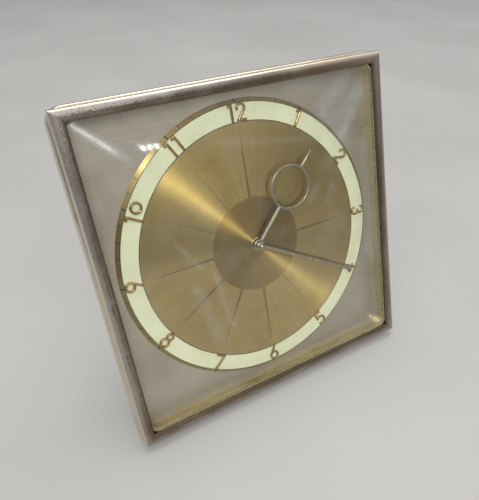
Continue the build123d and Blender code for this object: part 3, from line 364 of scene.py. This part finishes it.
def clear_crystal():
    """Clear domed sheet: reflects by angle, with a little dust and fine scratches."""
    m = Mat("clear_crystal")
    x, y, z, p = m.local()
    weight = m.node("ShaderNodeLayerWeight")
    weight.inputs["Blend"].default_value = 0.5
    facing = m.math("POWER", weight.outputs["Facing"], 5.0)
    shine = m.math("MULTIPLY_ADD", facing, 0.96, 0.04)
    gloss = m.node("ShaderNodeBsdfGlossy")
    gloss.inputs["Color"].default_value = (1.0, 1.0, 1.0, 1.0)
    gloss.inputs["Roughness"].default_value = 0.042
    clear = m.node("ShaderNodeBsdfTransparent")
    clear.inputs["Color"].default_value = (0.975, 0.985, 0.970, 1.0)
    glass = m.node("ShaderNodeMixShader")
    m.put(glass.inputs[0], shine)
    m.put(glass.inputs[1], clear.outputs[0])
    m.put(glass.inputs[2], gloss.outputs[0])
    haze = m.node("ShaderNodeBsdfDiffuse")
    haze.inputs["Color"].default_value = (0.80, 0.82, 0.82, 1.0)
    cloud = m.map(m.noise(p, 0.045, 4.0, 0.65, 0.8), 0.42, 0.72, 0.0, 0.035)
    scratch = m.noise(m.combine(m.math("MULTIPLY", x, 2.4), m.math("MULTIPLY", y, 0.10), 0.0), 1.0, 2.0, 0.5, 0.5)
    gate = m.map(m.noise(p, 0.06, 2.0, 0.5), 0.56, 0.66)
    lines = m.math("MULTIPLY", m.map(scratch, 0.70, 0.76, 0.0, 0.10), gate)
    dust = m.map(m.noise(p, 1.5, 1.0, 0.35), 0.750, 0.785, 0.0, 0.40)
    amount = m.math("ADD", m.math("ADD", cloud, lines), dust)
    # wiped smears, those at the upper corners also a painted reflection: from, to, half width, strength
    ripple = m.noise(p, 0.16, 3.0, 0.6, 0.4)
    streaks = m.noise(m.combine(m.math("MULTIPLY", m.math("ADD", x, m.math("MULTIPLY", y, 0.55)), 0.65), m.math("MULTIPLY", y, 0.03), 0.0), 1.0, 2.0, 0.5)
    wisps = m.noise(m.combine(m.math("MULTIPLY", m.math("SUBTRACT", x, m.math("MULTIPLY", y, 0.62)), 0.55), m.math("MULTIPLY", m.math("ADD", m.math("MULTIPLY", x, 0.62), y), 0.10), 0.0), 1.0, 4.0, 0.65, 0.4)
    broken = m.math("MULTIPLY", m.map(ripple, 0.34, 0.66, 0.45, 1.0), m.map(streaks, 0.30, 0.62, 0.55, 1.0))
    wiped = m.math("MULTIPLY", broken, m.map(wisps, 0.30, 0.68, 0.30, 1.15))
    for x0, y0, x1, y1, half, strength, texture in (
        (-60.0, 61.0, -46.0, 52.0, 11.0, 0.13, broken),
        (40.0, 56.0, 56.0, 67.0, 7.0, 0.18, wiped), (49.0, 41.0, 60.0, 57.0, 6.6, 0.26, wiped), (42.0, 50.0, 60.0, 60.0, 17.0, 0.15, wiped),
        (62.0, 34.0, 62.0, -20.0, 12.0, 0.12, broken), (26.0, 16.0, 42.0, 34.0, 5.5, 0.10, wiped), (36.0, 14.0, 50.0, 38.0, 7.0, 0.08, wiped),
        (-36.0, -8.0, -30.0, -34.0, 6.4, 0.13, broken), (-27.0, -2.0, -23.0, -30.0, 3.8, 0.11, broken), (-40.0, 14.0, -33.0, 2.0, 3.6, 0.10, broken),
        (-12.0, 50.0, 36.0, 42.0, 3.5, 0.05, broken),
    ):
        dx, dy = x1 - x0, y1 - y0
        length = math.hypot(dx, dy)
        along = m.math("ADD", m.math("MULTIPLY", m.math("SUBTRACT", x, x0), dx / length), m.math("MULTIPLY", m.math("SUBTRACT", y, y0), dy / length))
        off = m.math("ABSOLUTE", m.math("ADD", m.math("MULTIPLY", m.math("SUBTRACT", x, x0), -dy / length), m.math("MULTIPLY", m.math("SUBTRACT", y, y0), dx / length)))
        past = m.math("MAXIMUM", m.math("MAXIMUM", m.math("MULTIPLY", along, -1.0), m.math("SUBTRACT", along, length)), 0.0)
        away = m.math("SQRT", m.math("ADD", m.math("MULTIPLY", off, off), m.math("MULTIPLY", past, past)))
        soft = m.math("POWER", m.map(away, half, 0.0, 0.0, 1.0), 1.7)
        amount = m.math("ADD", amount, m.math("MULTIPLY", m.math("MULTIPLY", soft, strength), texture))
    amount = m.math("MINIMUM", amount, 0.6)
    both = m.node("ShaderNodeMixShader")
    m.put(both.inputs[0], amount)
    m.put(both.inputs[1], glass.outputs[0])
    m.put(both.inputs[2], haze.outputs[0])
    return m.done(both)


def crystal_edge():
    """Ground rim of the crystal: pale green with a painted highlight at the top and towards the right; lower down and
    to the left, a painted reflection of the frame's golden colour.
    """
    m = Mat("crystal_edge")
    x, y, z, p = m.local()
    fine = m.noise(p, 0.9, 3.0, 0.6)
    pale = m.ramp(fine, [(0.34, (0.72, 0.77, 0.60)), (0.66, (0.88, 0.91, 0.76))])
    gold = m.ramp(fine, [(0.34, (0.56, 0.480, 0.260)), (0.66, (0.74, 0.660, 0.400))])
    # painted: pale highlight at the top and right, the frame's golden reflection lower down and to the left
    body = m.principled(Base_Color=m.mix(m.math("MULTIPLY", m.map(z, -3.9, -3.2), m.map(m.math("ADD", x, m.math("MULTIPLY", y, 0.25)), -60.0, 45.0, 0.10, 1.0)), gold, pale), Metallic=0.0, Roughness=0.30)
    clear = m.node("ShaderNodeBsdfTransparent")
    clear.inputs["Color"].default_value = (0.90, 0.93, 0.84, 1.0)
    both = m.node("ShaderNodeMixShader")
    m.put(both.inputs[0], m.map(fine, 0.3, 0.7, 0.62, 0.82))
    m.put(both.inputs[1], clear.outputs[0])
    m.put(both.inputs[2], body.outputs[0])
    return m.done(both)


BEZEL, CASE, FRAME_GOLD, PLATE = bezel_metal(), case_metal(), frame_gold(), plate_silver()
DIAL = sunburst("sunburst_gold", (0.512, 0.355, 0.124), (0.606, 0.437, 0.162), (0.696, 0.523, 0.210), 0.34)
MIDDLE = sunburst("sunburst_brown", (0.340, 0.222, 0.075), (0.418, 0.284, 0.097), (0.515, 0.362, 0.126), 0.48)
CREAM = cream_paint()
GILT = polished("gilt", (0.40, 0.255, 0.075), (0.62, 0.430, 0.150), (0.78, 0.600, 0.270), 0.16, 0.34)
NUMERAL = polished("numeral_gilt", (0.258, 0.150, 0.053), (0.430, 0.280, 0.101), (0.610, 0.430, 0.178), 0.13, 0.28)
HAND = polished("pale_gilt", (0.29, 0.262, 0.188), (0.40, 0.368, 0.280), (0.50, 0.470, 0.372), 0.34, 0.46)
MINUTE = polished("dark_gilt", (0.30, 0.235, 0.140), (0.42, 0.345, 0.220), (0.54, 0.460, 0.320), 0.32, 0.46)
STEEL = polished("polished_steel", (0.36, 0.345, 0.33), (0.55, 0.535, 0.51), (0.70, 0.69, 0.67), 0.16, 0.34)
MOVEMENT = grained("movement_brass", (0.42, 0.300, 0.100), (0.72, 0.560, 0.240), 0.26, 0.42)
SPRING = grained("spring_steel", (0.10, 0.11, 0.14), (0.28, 0.29, 0.34), 0.24, 0.36)
NUT = polished("nut_steel", (0.20, 0.188, 0.175), (0.33, 0.315, 0.290), (0.48, 0.462, 0.430), 0.15, 0.30)
COVER, PAD = cover_metal(), rubber()
INK = print_ink("track_ink", (0.020, 0.014, 0.010), (0.055, 0.040, 0.028))
LINE = sunburst("sunburst_line", (0.270, 0.175, 0.062), (0.330, 0.225, 0.082), (0.400, 0.285, 0.110), 0.34)
FAINT = sunburst("sunburst_line_worn", (0.420, 0.295, 0.105), (0.500, 0.365, 0.138), (0.580, 0.440, 0.178), 0.34)
CRYSTAL, EDGE = clear_crystal(), crystal_edge()

ON_NODES = {
    "case_body": CASE, "front_bezel": BEZEL, "inner_frame": FRAME_GOLD, "dial_plate": PLATE, "dial_disc": DIAL,
    "chapter_ring": CREAM, "dial_centre": MIDDLE, "dial_bushing": GILT, "hour_numerals": NUMERAL, "hour_hand": HAND,
    "minute_hand": MINUTE, "hand_nut": NUT, "crystal": CRYSTAL, "back_cover": COVER, "cover_screws": STEEL,
    "set_knob": GILT, "winding_key": GILT, "strut_bracket": CASE, "bracket_screws": STEEL, "hinge_pin": STEEL,
    "strut_leg": CASE, "strut_foot": PAD, "hairspring": SPRING, "mainspring": SPRING, "pallet_lever": STEEL,
    "centre_arbor": STEEL, "cannon_pinion": STEEL, "minute_stud": STEEL, "plate_screws": STEEL, "barrel_arbor": STEEL,
    "ratchet_wheel": STEEL, "click": STEEL, "click_screw": STEEL,
}
for name, obj in nodes.items():
    material = ON_NODES.get(name, MOVEMENT)
    for slot in obj.material_slots:
        slot.material = material


# ------------------------------------------------------------------ mesh helpers
def piece(name, verts, faces, materials, body, smooth=True, faces_of=None, sharp=None):
    """Mesh object from points in the dial's frame."""
    mesh = bpy.data.meshes.new(name)
    mesh.from_pydata([world(*v) for v in verts], [], faces)
    for material in materials:
        mesh.materials.append(material)
    if faces_of:
        for poly, index in zip(mesh.polygons, faces_of):
            poly.material_index = index
    bm = bmesh.new()
    bm.from_mesh(mesh)
    bmesh.ops.remove_doubles(bm, verts=bm.verts, dist=2e-6)
    bmesh.ops.recalc_face_normals(bm, faces=bm.faces)
    bm.to_mesh(mesh)
    bm.free()
    for poly in mesh.polygons:
        poly.use_smooth = smooth
    if sharp is not None:
        mesh.set_sharp_from_angle(angle=math.radians(sharp))
    obj = bpy.data.objects.new(name, mesh)
    bpy.context.collection.objects.link(obj)
    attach(obj, body)
    return obj


def lathe(profile, segments=64):
    """Points and faces of a closed profile (r, z) turned about the dial's axis."""
    verts, faces, n = [], [], len(profile)
    for k in range(segments):
        a = 2 * math.pi * k / segments
        verts += [(r * math.cos(a), r * math.sin(a), z) for r, z in profile]
    for k in range(segments):
        for i in range(n):
            j = (i + 1) % n
            a, b = k * n, ((k + 1) % segments) * n
            faces.append((a + i, b + i, b + j, a + j))
    return verts, faces


def join(*parts):
    verts, faces = [], []
    for v, f in parts:
        base = len(verts)
        verts += v
        faces += [tuple(i + base for i in face) for face in f]
    return verts, faces


# ------------------------------------------------------------------ bezel with a crowned face
def bezel_piece():
    # section of the frame: distance from the middle, height, corner radius
    section = [
        (69.0, -1.5, 0.0), (69.0, -0.62, 0.0), (69.22, -0.38, 0.0), (69.7, -0.18, 0.0), (70.4, -0.05, 0.0),
        (71.2, 0.0, 0.0), (72.0, -0.02, 0.0), (72.6, -0.11, 0.0), (73.1, -0.29, 0.0), (73.5, -0.56, 0.0),
        (73.8, -0.91, 0.0), (74.02, -1.35, 0.0), (74.1, -1.8, 0.0), (74.1, -3.0, 0.0), (73.0, -3.0, 4.6),
        (73.0, -7.0, 4.6), (71.9, -7.0, 3.5), (71.9, -3.0, 3.5), (70.5, -3.0, 0.0), (70.5, -1.5, 0.0),
    ]
    steps = 8
    verts, faces = [], []
    for half, z, radius in section:
        for k, (sx, sy) in enumerate(((1, 1), (-1, 1), (-1, -1), (1, -1))):
            for i in range(steps + 1):
                a = math.radians(90 * k + 90 * i / steps)
                verts.append((sx * (half - radius) + radius * math.cos(a), sy * (half - radius) + radius * math.sin(a), z))
    n, count = 4 * (steps + 1), len(section)
    for r in range(count):
        a, b = r * n, ((r + 1) % count) * n
        for i in range(n):
            j = (i + 1) % n
            faces.append((a + i, a + j, b + j, b + i))
    obj = piece("bezel_frame", verts, faces, [BEZEL], "case", sharp=38)
    mesh = obj.data
    places = []
    for v in mesh.vertices:
        d = v.co * 1000.0 - ORIGIN
        places.append((d.dot(EX), d.dot(EY)))
    # the mitres stay crisp
    for edge in mesh.edges:
        if all(abs(abs(places[i][0]) - abs(places[i][1])) < 0.01 for i in edge.vertices):
            edge.use_edge_sharp = True
    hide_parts("front_bezel")


bezel_piece()

# ------------------------------------------------------------------ crystal
GLASS_HALF, GLASS_CORNER, GLASS_RIM, GLASS_RISE, GLASS_T = 70.2, 6.0, -1.9, 5.9, 2.0


def crystal_piece():
    steps = [-GLASS_HALF, -GLASS_HALF + 0.25, -GLASS_HALF + 0.9]
    inner = GLASS_HALF - 0.9
    count = 64
    steps += [-inner + 2 * inner * i / count for i in range(1, count)]
    steps += [inner, GLASS_HALF - 0.25, GLASS_HALF]
    n = len(steps)
    corner = GLASS_HALF - GLASS_CORNER

    def spot(x, y):
        cx, cy = abs(x) - corner, abs(y) - corner
        if cx > 0 and cy > 0:
            # the square corner is pulled in to the arc, ring by ring
            far = max(cx, cy)
            length = math.hypot(cx, cy)
            x = math.copysign(corner + cx / length * far, x)
            y = math.copysign(corner + cy / length * far, y)
        return x, y

    verts, faces, kinds = [], [], []
    for lower in (0, 1):
        for x0 in steps:
            for y0 in steps:
                x, y = spot(x0, y0)
                rise = GLASS_RISE * (1 - (x / GLASS_HALF) ** 2) * (1 - (y / GLASS_HALF) ** 2)
                edge = max(abs(x0), abs(y0)) > GLASS_HALF - 0.1
                round_off = 0.25 if edge else 0.0
                z = GLASS_RIM + rise - round_off if not lower else GLASS_RIM + rise - GLASS_T + round_off * 0.4
                verts.append((x, y, z))
    for lower in (0, 1):
        base = lower * n * n
        for i in range(n - 1):
            for j in range(n - 1):
                q = (base + i * n + j, base + (i + 1) * n + j, base + (i + 1) * n + j + 1, base + i * n + j + 1)
                faces.append(q if not lower else q[::-1])
                border = i < 2 or j < 2 or i >= n - 3 or j >= n - 3
                kinds.append(1 if border else 0)
    ring = [i * n for i in range(n)] + [(n - 1) * n + j for j in range(1, n)] + [i * n + n - 1 for i in range(n - 2, -1, -1)] + [j for j in range(n - 2, 0, -1)]
    for a, b in zip(ring, ring[1:] + ring[:1]):
        faces.append((a, b, b + n * n, a + n * n))
        kinds.append(1)
    obj = piece("crystal_dome", verts, faces, [CRYSTAL, EDGE], "case", faces_of=kinds)
    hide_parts("crystal")
    return obj


crystal_piece()

# ------------------------------------------------------------------ printing on the dial
DIAL_Z = -7.4
RING_IN, RING_OUT = 55.85, 63.65
BEVEL = ((63.8, -7.4), (65.5, -8.8))


def annulus(r0, r1, z, segments=180):
    verts, faces = [], []
    for k in range(segments):
        for r in (r0, r1):
            verts.append((*polar(r, 360.0 * k / segments), z))
    for k in range(segments):
        a, b = 2 * k, 2 * ((k + 1) % segments)
        faces.append((a, a + 1, b + 1, b))
    return verts, faces


def slab(points, thick):
    """Thin closed plate over a flat outline, its top at the points."""
    n = len(points)
    verts = list(points) + [(x, y, z - thick) for x, y, z in points]
    faces = [tuple(range(n)), tuple(range(2 * n - 1, n - 1, -1))]
    faces += [(i, (i + 1) % n, (i + 1) % n + n, i + n) for i in range(n)]
    return verts, faces


def track():
    parts = []
    (r0, z0), (r1, z1) = BEVEL
    lift = 0.03
    for k in range(60):
        clock = 6.0 * k
        half = 0.36 if k % 5 == 0 else 0.13
        a = math.radians(clock)
        side = (math.cos(a), -math.sin(a))
        points = []
        for share, sign in ((0.06, -1), (0.06, 1), (0.94, 1), (0.94, -1)):
            r = r0 + (r1 - r0) * share
            z = z0 + (z1 - z0) * share + lift
            x, y = polar(r, clock)
            points.append((x + side[0] * half * sign, y + side[1] * half * sign, z))
        parts.append(slab(points, 0.03))
    obj = piece("minute_track", *join(*parts), [INK], "case", smooth=False)


def outlines():
    parts = []
    for r0, r1 in ((RING_IN - 0.20, RING_IN + 0.14), (RING_OUT - 0.16, RING_OUT + 0.13)):
        top, bottom = annulus(r0, r1, DIAL_Z + 0.03), annulus(r0, r1, DIAL_Z)
        verts, faces = join(top, (bottom[0], [f[::-1] for f in bottom[1]]))
        n = len(top[0])
        for k in range(0, n, 2):
            j = (k + 2) % n
            faces += [(k, j, j + n, k + n), (j + 1, k + 1, k + 1 + n, j + 1 + n)]
        parts.append((verts, faces))
    obj = piece("ring_outlines", *join(*parts), [INK], "case", smooth=False)


def hour_lines():
    parts, worn = [], []
    for k in range(12):
        clock = 30.0 * k
        a = math.radians(clock)
        side = (math.cos(a), -math.sin(a))
        points = []
        for r, half in ((22.5, -0.66), (22.5, 0.66), (51.3, 0.11), (51.3, -0.11)):
            x, y = polar(r, clock)
            points.append((x + side[0] * half, y + side[1] * half, DIAL_Z + 0.02))
        parts.append(slab(points, 0.02))
        worn += [1 if k in (1, 2, 4, 5, 10, 11) else 0] * len(parts[-1][1])
    obj = piece("hour_lines", *join(*parts), [LINE, FAINT], "case", smooth=False, faces_of=worn)


track()
outlines()
hour_lines()

# ------------------------------------------------------------------ numerals as half-round wire
DIGITS = {
    "0": ([], [(0, 0.3, 2.15, 0, 360)]),
    "1": ([(0, -3.4, 0, 3.4), (0, 3.4, -1.3, 2.8)], []),
    "2": ([(1.5, 0.62, -1.8, -3.4), (-1.8, -3.4, 1.9, -3.4)], [(0, 1.6, 1.8, -33, 190)]),
    "3": ([], [(0, 1.75, 1.65, -90, 160), (0, -1.6, 1.8, -160, 90)]),
    "4": ([(0.9, 3.4, -2.1, -1.3), (-2.1, -1.3, 2.1, -1.3), (0.9, 3.4, 0.9, -3.4)], []),
    "5": ([(-1.2, 3.4, 1.6, 3.4), (-1.2, 3.4, -1.5, 0.3)], [(-0.2, -1.3, 2.1, -140, 128)]),
    "6": ([(-1.75, -0.7, 0.6, 3.4)], [(0, -1.5, 1.9, 0, 360)]),
    "7": ([(-1.9, 3.4, 1.9, 3.4), (1.9, 3.4, -0.6, -3.4)], []),
    "8": ([], [(0, -1.5, 1.9, 0, 360), (0, 1.95, 1.45, 0, 360)]),
    "9": ([(1.75, 0.7, -0.6, -3.4)], [(0, 1.5, 1.9, 0, 360)]),
}
NUMERALS = [("12", 0), ("1", 30), ("2", 60), ("3", 90), ("4", 120), ("5", 150),
            ("6", 180), ("7", 210), ("8", 240), ("9", 270), ("10", 300), ("11", 330)]
PAIRS = {"10": (-2.6, 2.1), "11": (-1.7, 2.4), "12": (-2.3, 2.1)}


def wire(path, closed, half=0.62, low=DIAL_Z, high=DIAL_Z + 0.83):
    """Rounded bar along a flat path: a low arch in section, with rounded ends."""
    section = []
    count = 10
    for i in range(count + 1):
        a = math.pi * i / count
        section.append((math.cos(a) * half, low + (high - low) * math.sin(a) ** 0.8 if 0 < i < count else low))
    n = len(path)
    verts, faces, m = [], [], len(section)

    def direction(i):
        if closed:
            a, b = path[(i - 1) % n], path[(i + 1) % n]
        else:
            a, b = path[max(i - 1, 0)], path[min(i + 1, n - 1)]
        d = Vector((b[0] - a[0], b[1] - a[1]))
        return d.normalized()

    stations = [(path[i], direction(i), 1.0) for i in range(n)]
    if not closed:
        first, last = stations[0], stations[-1]
        caps = [0.35, 0.7, 0.92]
        lead = [((first[0][0] - first[1].x * half * math.sqrt(1 - c * c), first[0][1] - first[1].y * half * math.sqrt(1 - c * c)), first[1], c) for c in caps]
        tail = [((last[0][0] + last[1].x * half * math.sqrt(1 - c * c), last[0][1] + last[1].y * half * math.sqrt(1 - c * c)), last[1], c) for c in reversed(caps)]
        stations = lead + stations + tail
    for (px, py), d, k in stations:
        nx, ny = -d.y, d.x
        for s, z in section:
            verts.append((px + nx * s * k, py + ny * s * k, low + (z - low) * k))
    count = len(stations)
    for i in range(count if closed else count - 1):
        a, b = i * m, ((i + 1) % count) * m
        for j in range(m - 1):
            faces.append((a + j, a + j + 1, b + j + 1, b + j))
        faces.append((a + m - 1, a, b, b + m - 1))
    if not closed:
        faces.append(tuple(range(m)))
        faces.append(tuple((count - 1) * m + j for j in range(m - 1, -1, -1)))
    return verts, faces


def numerals():
    parts = []
    for text, clock in NUMERALS:
        inward = text in ("4", "5", "6", "7", "8")
        turn = math.radians(-clock + (180 if inward else 0))
        mx, my = polar(59.8, clock)
        ux, uy = math.cos(turn), math.sin(turn)
        for digit, shift in zip(text, PAIRS.get(text, (0.0,))):
            def place(x, y):
                x += shift
                return mx + x * ux - y * uy, my + x * uy + y * ux
            straight, arcs = DIGITS[digit]
            for x0, y0, x1, y1 in straight:
                parts.append(wire([place(x0 + (x1 - x0) * t / 6, y0 + (y1 - y0) * t / 6) for t in range(7)], False))
            for x, y, r, a0, a1 in arcs:
                steps = max(12, int((a1 - a0) / 9))
                closed = a1 - a0 >= 360
                points = []
                for t in range(steps if closed else steps + 1):
                    a = math.radians(a0 + (a1 - a0) * t / steps)
                    points.append(place(x + r * math.cos(a), y + r * math.sin(a)))
                parts.append(wire(points, closed))
    obj = piece("numeral_wires", *join(*parts), [NUMERAL], "case", sharp=40)
    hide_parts("hour_numerals")


numerals()


# ------------------------------------------------------------------ hands
def roofed(stations, clock, base, eave, ridge):
    """Two-faceted bar along a hand: stations are (distance, half width)."""
    a = math.radians(clock)
    along, across = (math.sin(a), math.cos(a)), (math.cos(a), -math.sin(a))
    verts, faces = [], []
    for u, w in stations:
        peak = eave + (ridge - eave) * min(1.0, w / 0.45)
        for s, z in ((-w, base), (-w, eave), (0.0, peak), (w, eave), (w, base)):
            verts.append((along[0] * u + across[0] * s, along[1] * u + across[1] * s, z))
    n = len(stations)
    for i in range(n - 1):
        p, q = i * 5, (i + 1) * 5
        for j in range(5):
            k = (j + 1) % 5
            faces.append((p + j, p + k, q + k, q + j))
    faces.append((4, 3, 2, 1, 0))
    faces.append(tuple((n - 1) * 5 + j for j in range(5)))
    return verts, faces


def loop(clock, distance, radius, half, z, rise, segments=144, sides=14):
    """Ring of flattened round section lying in the hand's plane."""
    cx, cy = polar(distance, clock)
    verts, faces = [], []
    for k in range(segments):
        a = 2 * math.pi * k / segments
        for j in range(sides):
            b = 2 * math.pi * j / sides
            r = radius + half * math.cos(b)
            verts.append((cx + r * math.cos(a), cy + r * math.sin(a), z + rise * math.sin(b)))
    for k in range(segments):
        for j in range(sides):
            p, q = k * sides, ((k + 1) % segments) * sides
            i = (j + 1) % sides
            faces.append((p + j, q + j, q + i, p + i))
    return verts, faces


def hour_hand():
    clock = 42.6
    stem = roofed([(2.0, 0.88), (20.35, 0.84)], clock, -5.28, -5.08, -4.74)
    ring = loop(clock, 30.5, 10.1, 0.6, -5.0, 0.28)
    thorn = []
    for i in range(25):
        t = (i / 24) ** 1.3
        thorn.append((40.75 + (49.6 - 40.75) * t, 0.05 + 0.80 * (1 - t) ** 0.82 + 0.68 * math.exp(-t / 0.06)))
    spike = roofed(thorn, clock, -5.26, -5.1, -4.78)
    boss = lathe([(1.84, -5.3), (2.62, -5.3), (2.8, -5.15), (2.8, -4.95), (2.62, -4.78), (2.2, -4.7), (1.84, -4.7)])
    obj = piece("hour_hand_ring", *join(stem, ring, spike, boss), [HAND], "hour_train", sharp=35)
    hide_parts("hour_hand")


def minute_hand():
    clock = 120.0
    bar = roofed([(1.5, 0.84), (30.0, 0.80), (50.0, 0.70), (57.6, 0.62), (58.3, 0.36), (58.58, 0.10)], clock, -3.58, -3.42, -3.04)
    boss = lathe([(1.19, -3.6), (1.85, -3.6), (2.0, -3.48), (2.0, -3.2), (1.85, -3.06), (1.6, -3.0), (1.19, -3.0)])
    obj = piece("minute_hand_bar", *join(bar, boss), [MINUTE], "minute_train", sharp=35)
    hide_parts("minute_hand")


def nut():
    profile = [(0.0, -1.3)]
    for i in range(1, 9):
        a = math.radians(90 - 90 * i / 8)
        profile.append((1.0 * math.cos(a), -2.0 + 0.7 * math.sin(a)))
    profile += [(1.02, -2.3), (1.12, -2.38), (1.38, -2.42), (1.45, -2.5), (1.45, -2.9), (1.38, -3.0), (0.74, -3.0), (0.74, -1.85), (0.0, -1.85)]
    obj = piece("hand_nut_turned", *lathe(profile, 48), [NUT], "minute_train", sharp=35)
    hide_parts("hand_nut")


def bushing():
    profile = [(2.32, -7.4), (3.4, -7.4), (3.36, -7.1), (3.22, -6.84), (3.0, -6.72), (2.7, -6.7), (2.45, -6.76), (2.32, -6.9)]
    obj = piece("dial_bushing_turned", *lathe(profile, 64), [GILT], "case", sharp=50)
    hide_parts("dial_bushing")


hour_hand()
minute_hand()
nut()
bushing()


# ------------------------------------------------------------------ floor, light, camera
def floor():
    m = Mat("pale_floor")
    tc = m.node("ShaderNodeTexCoord")
    soft = m.noise(tc.outputs["Object"], 6.0, 3.0, 0.5)
    base = m.ramp(soft, [(0.3, (0.405, 0.400, 0.392)), (0.7, (0.445, 0.440, 0.432))])
    material = m.done(m.principled(Base_Color=base, Roughness=0.65))
    mesh = bpy.data.meshes.new("floor")
    verts, faces = [], []
    depth = [(-3.0, 0.0), (1.2, 0.0)]
    for i in range(1, 13):
        a = math.pi / 2 * i / 12
        depth.append((1.2 + 0.8 * math.sin(a), 0.8 - 0.8 * math.cos(a)))
    depth.append((2.0, 3.0))
    for y, z in depth:
        verts += [(-4.0, y, z), (4.0, y, z)]
    for i in range(len(depth) - 1):
        faces.append((2 * i, 2 * i + 1, 2 * i + 3, 2 * i + 2))
    mesh.from_pydata(verts, [], faces)
    for poly in mesh.polygons:
        poly.use_smooth = True
    mesh.materials.append(material)
    obj = bpy.data.objects.new("floor", mesh)
    bpy.context.collection.objects.link(obj)


floor()


def area(name, at, target, size, power, colour=(1, 1, 1), size_y=None):
    data = bpy.data.lights.new(name, "AREA")
    data.energy = power
    data.color = colour
    data.size = size
    if size_y is not None:
        data.shape = "RECTANGLE"
        data.size_y = size_y
    obj = bpy.data.objects.new(name, data)
    obj.location = at
    obj.rotation_euler = (Vector(target) - Vector(at)).to_track_quat("-Z", "Y").to_euler()
    bpy.context.collection.objects.link(obj)
    return obj


middle = world(0, 0, 0)


def towards(x, y, z, distance):
    """A place in a direction of the dial's frame, seen from the dial's middle."""
    d = (EX * x + EY * y + EZ * z).normalized()
    return middle + d * distance



def strip(name, at, target, along, length, width, power, colour):
    """Long narrow soft light whose long side runs in a given direction."""
    data = bpy.data.lights.new(name, "AREA")
    data.energy = power
    data.color = colour
    data.shape = "RECTANGLE"
    data.size, data.size_y = length, width
    z_axis = (Vector(at) - Vector(target)).normalized()
    x_axis = (along - z_axis * along.dot(z_axis)).normalized()
    y_axis = z_axis.cross(x_axis)
    obj = bpy.data.objects.new(name, data)
    obj.matrix_world = Matrix((
        (x_axis.x, y_axis.x, z_axis.x, at[0]),
        (x_axis.y, y_axis.y, z_axis.y, at[1]),
        (x_axis.z, y_axis.z, z_axis.z, at[2]),
        (0, 0, 0, 1),
    ))
    bpy.context.collection.objects.link(obj)
    return obj


key = strip("key", towards(-0.406, 0.606, 1.0, 1.27), middle, EX * -0.642 + EY * 0.767, 0.74, 0.034, 6.3, (1.0, 0.995, 0.93))
# the key lights the dial, but is not mirrored as a hard bar in the crystal
no_glare = bpy.data.collections.new("no_glare")
no_glare.objects.link(bpy.data.objects["crystal_dome"])
no_glare.collection_objects[0].light_linking.link_state = "EXCLUDE"
key.light_linking.receiver_collection = no_glare
area("overhead", (0.22, 0.42, 1.35), middle, 1.4, 7.8, (1.0, 0.98, 0.95), 0.8)
# three small oval lamps, mirrored in the crystal near its upper left corner
for k, spot in enumerate(((223.0, 101.8, 1474.7), (252.6, 116.7, 1469.1), (282.5, 130.3, 1462.9))):
    lamp = strip("lamp_%d" % (k + 1), world(*spot), world(-42.0, 55.0, 0.0), EX * -0.66 + EY * -0.735 + EZ * 0.15, 0.033, 0.010, 0.024, (1.0, 1.0, 1.0))
    lamp.data.shape = "ELLIPSE"
# a fourth one with a soft edge, drawn out by the crystal's curve
for k, (short, wide, power) in enumerate(((0.062, 0.092, 0.0115), (0.030, 0.050, 0.0048), (0.022, 0.036, 0.0038), (0.013, 0.023, 0.0019))):
    lamp = strip("soft_lamp_%d" % (k + 1), world(99.5, 36.5, 1490.0 - 2.0 * k), world(-59.0, 60.0, 0.0), EX * 0.707 - EY * 0.707, short, wide, power, (0.93, 0.97, 1.0))
    lamp.data.shape = "ELLIPSE"

world_data = bpy.data.worlds.new("studio")
bpy.context.scene.world = world_data
world_data.use_nodes = True
wt = world_data.node_tree
wt.nodes.clear()
wo = wt.nodes.new("ShaderNodeOutputWorld")
wb = wt.nodes.new("ShaderNodeBackground")
wc = wt.nodes.new("ShaderNodeTexCoord")
ws = wt.nodes.new("ShaderNodeSeparateXYZ")
wr = wt.nodes.new("ShaderNodeValToRGB")
wr.color_ramp.elements[0].position = 0.0
wr.color_ramp.elements[0].color = (0.23, 0.23, 0.24, 1)
wr.color_ramp.elements[1].position = 1.0
wr.color_ramp.elements[1].color = (1.0, 1.0, 1.0, 1)
for place, level in ((0.30, 0.36), (0.60, 0.88)):
    wr.color_ramp.elements.new(place).color = (level, level, level * 1.01, 1)
wt.links.new(wc.outputs["Generated"], ws.inputs[0])
wt.links.new(ws.outputs["Z"], wr.inputs[0])
wt.links.new(wr.outputs[0], wb.inputs["Color"])
wb.inputs["Strength"].default_value = 1.06
wt.links.new(wb.outputs[0], wo.inputs["Surface"])

bpy.context.scene.view_settings.view_transform = "Standard"

# camera solved from the bezel's corners in the photograph
spin = Vector((0.32642289, -0.44896013, -0.24464449))
R = Matrix.Rotation(spin.length, 3, spin.normalized())


def from_local(v):
    return EX * v[0] + EY * v[1] + EZ * v[2]


right = from_local((R[0][0], -R[0][1], -R[0][2]))
up = -from_local((R[1][0], -R[1][1], -R[1][2]))
back = -from_local((R[2][0], -R[2][1], -R[2][2]))
eye = world(-91.794, 77.509, 175.717)
cam = bpy.data.cameras.new("camera")
cam.sensor_fit = "AUTO"
cam.sensor_width = 36.0
cam.lens = 469.707 * 36.0 / 500.0
cam.clip_start = 0.01
cam.clip_end = 50.0
cam_obj = bpy.data.objects.new("camera", cam)
cam_obj.matrix_world = Matrix((
    (right.x, up.x, back.x, eye.x),
    (right.y, up.y, back.y, eye.y),
    (right.z, up.z, back.z, eye.z),
    (0, 0, 0, 1),
))
bpy.context.collection.objects.link(cam_obj)
bpy.context.scene.camera = cam_obj
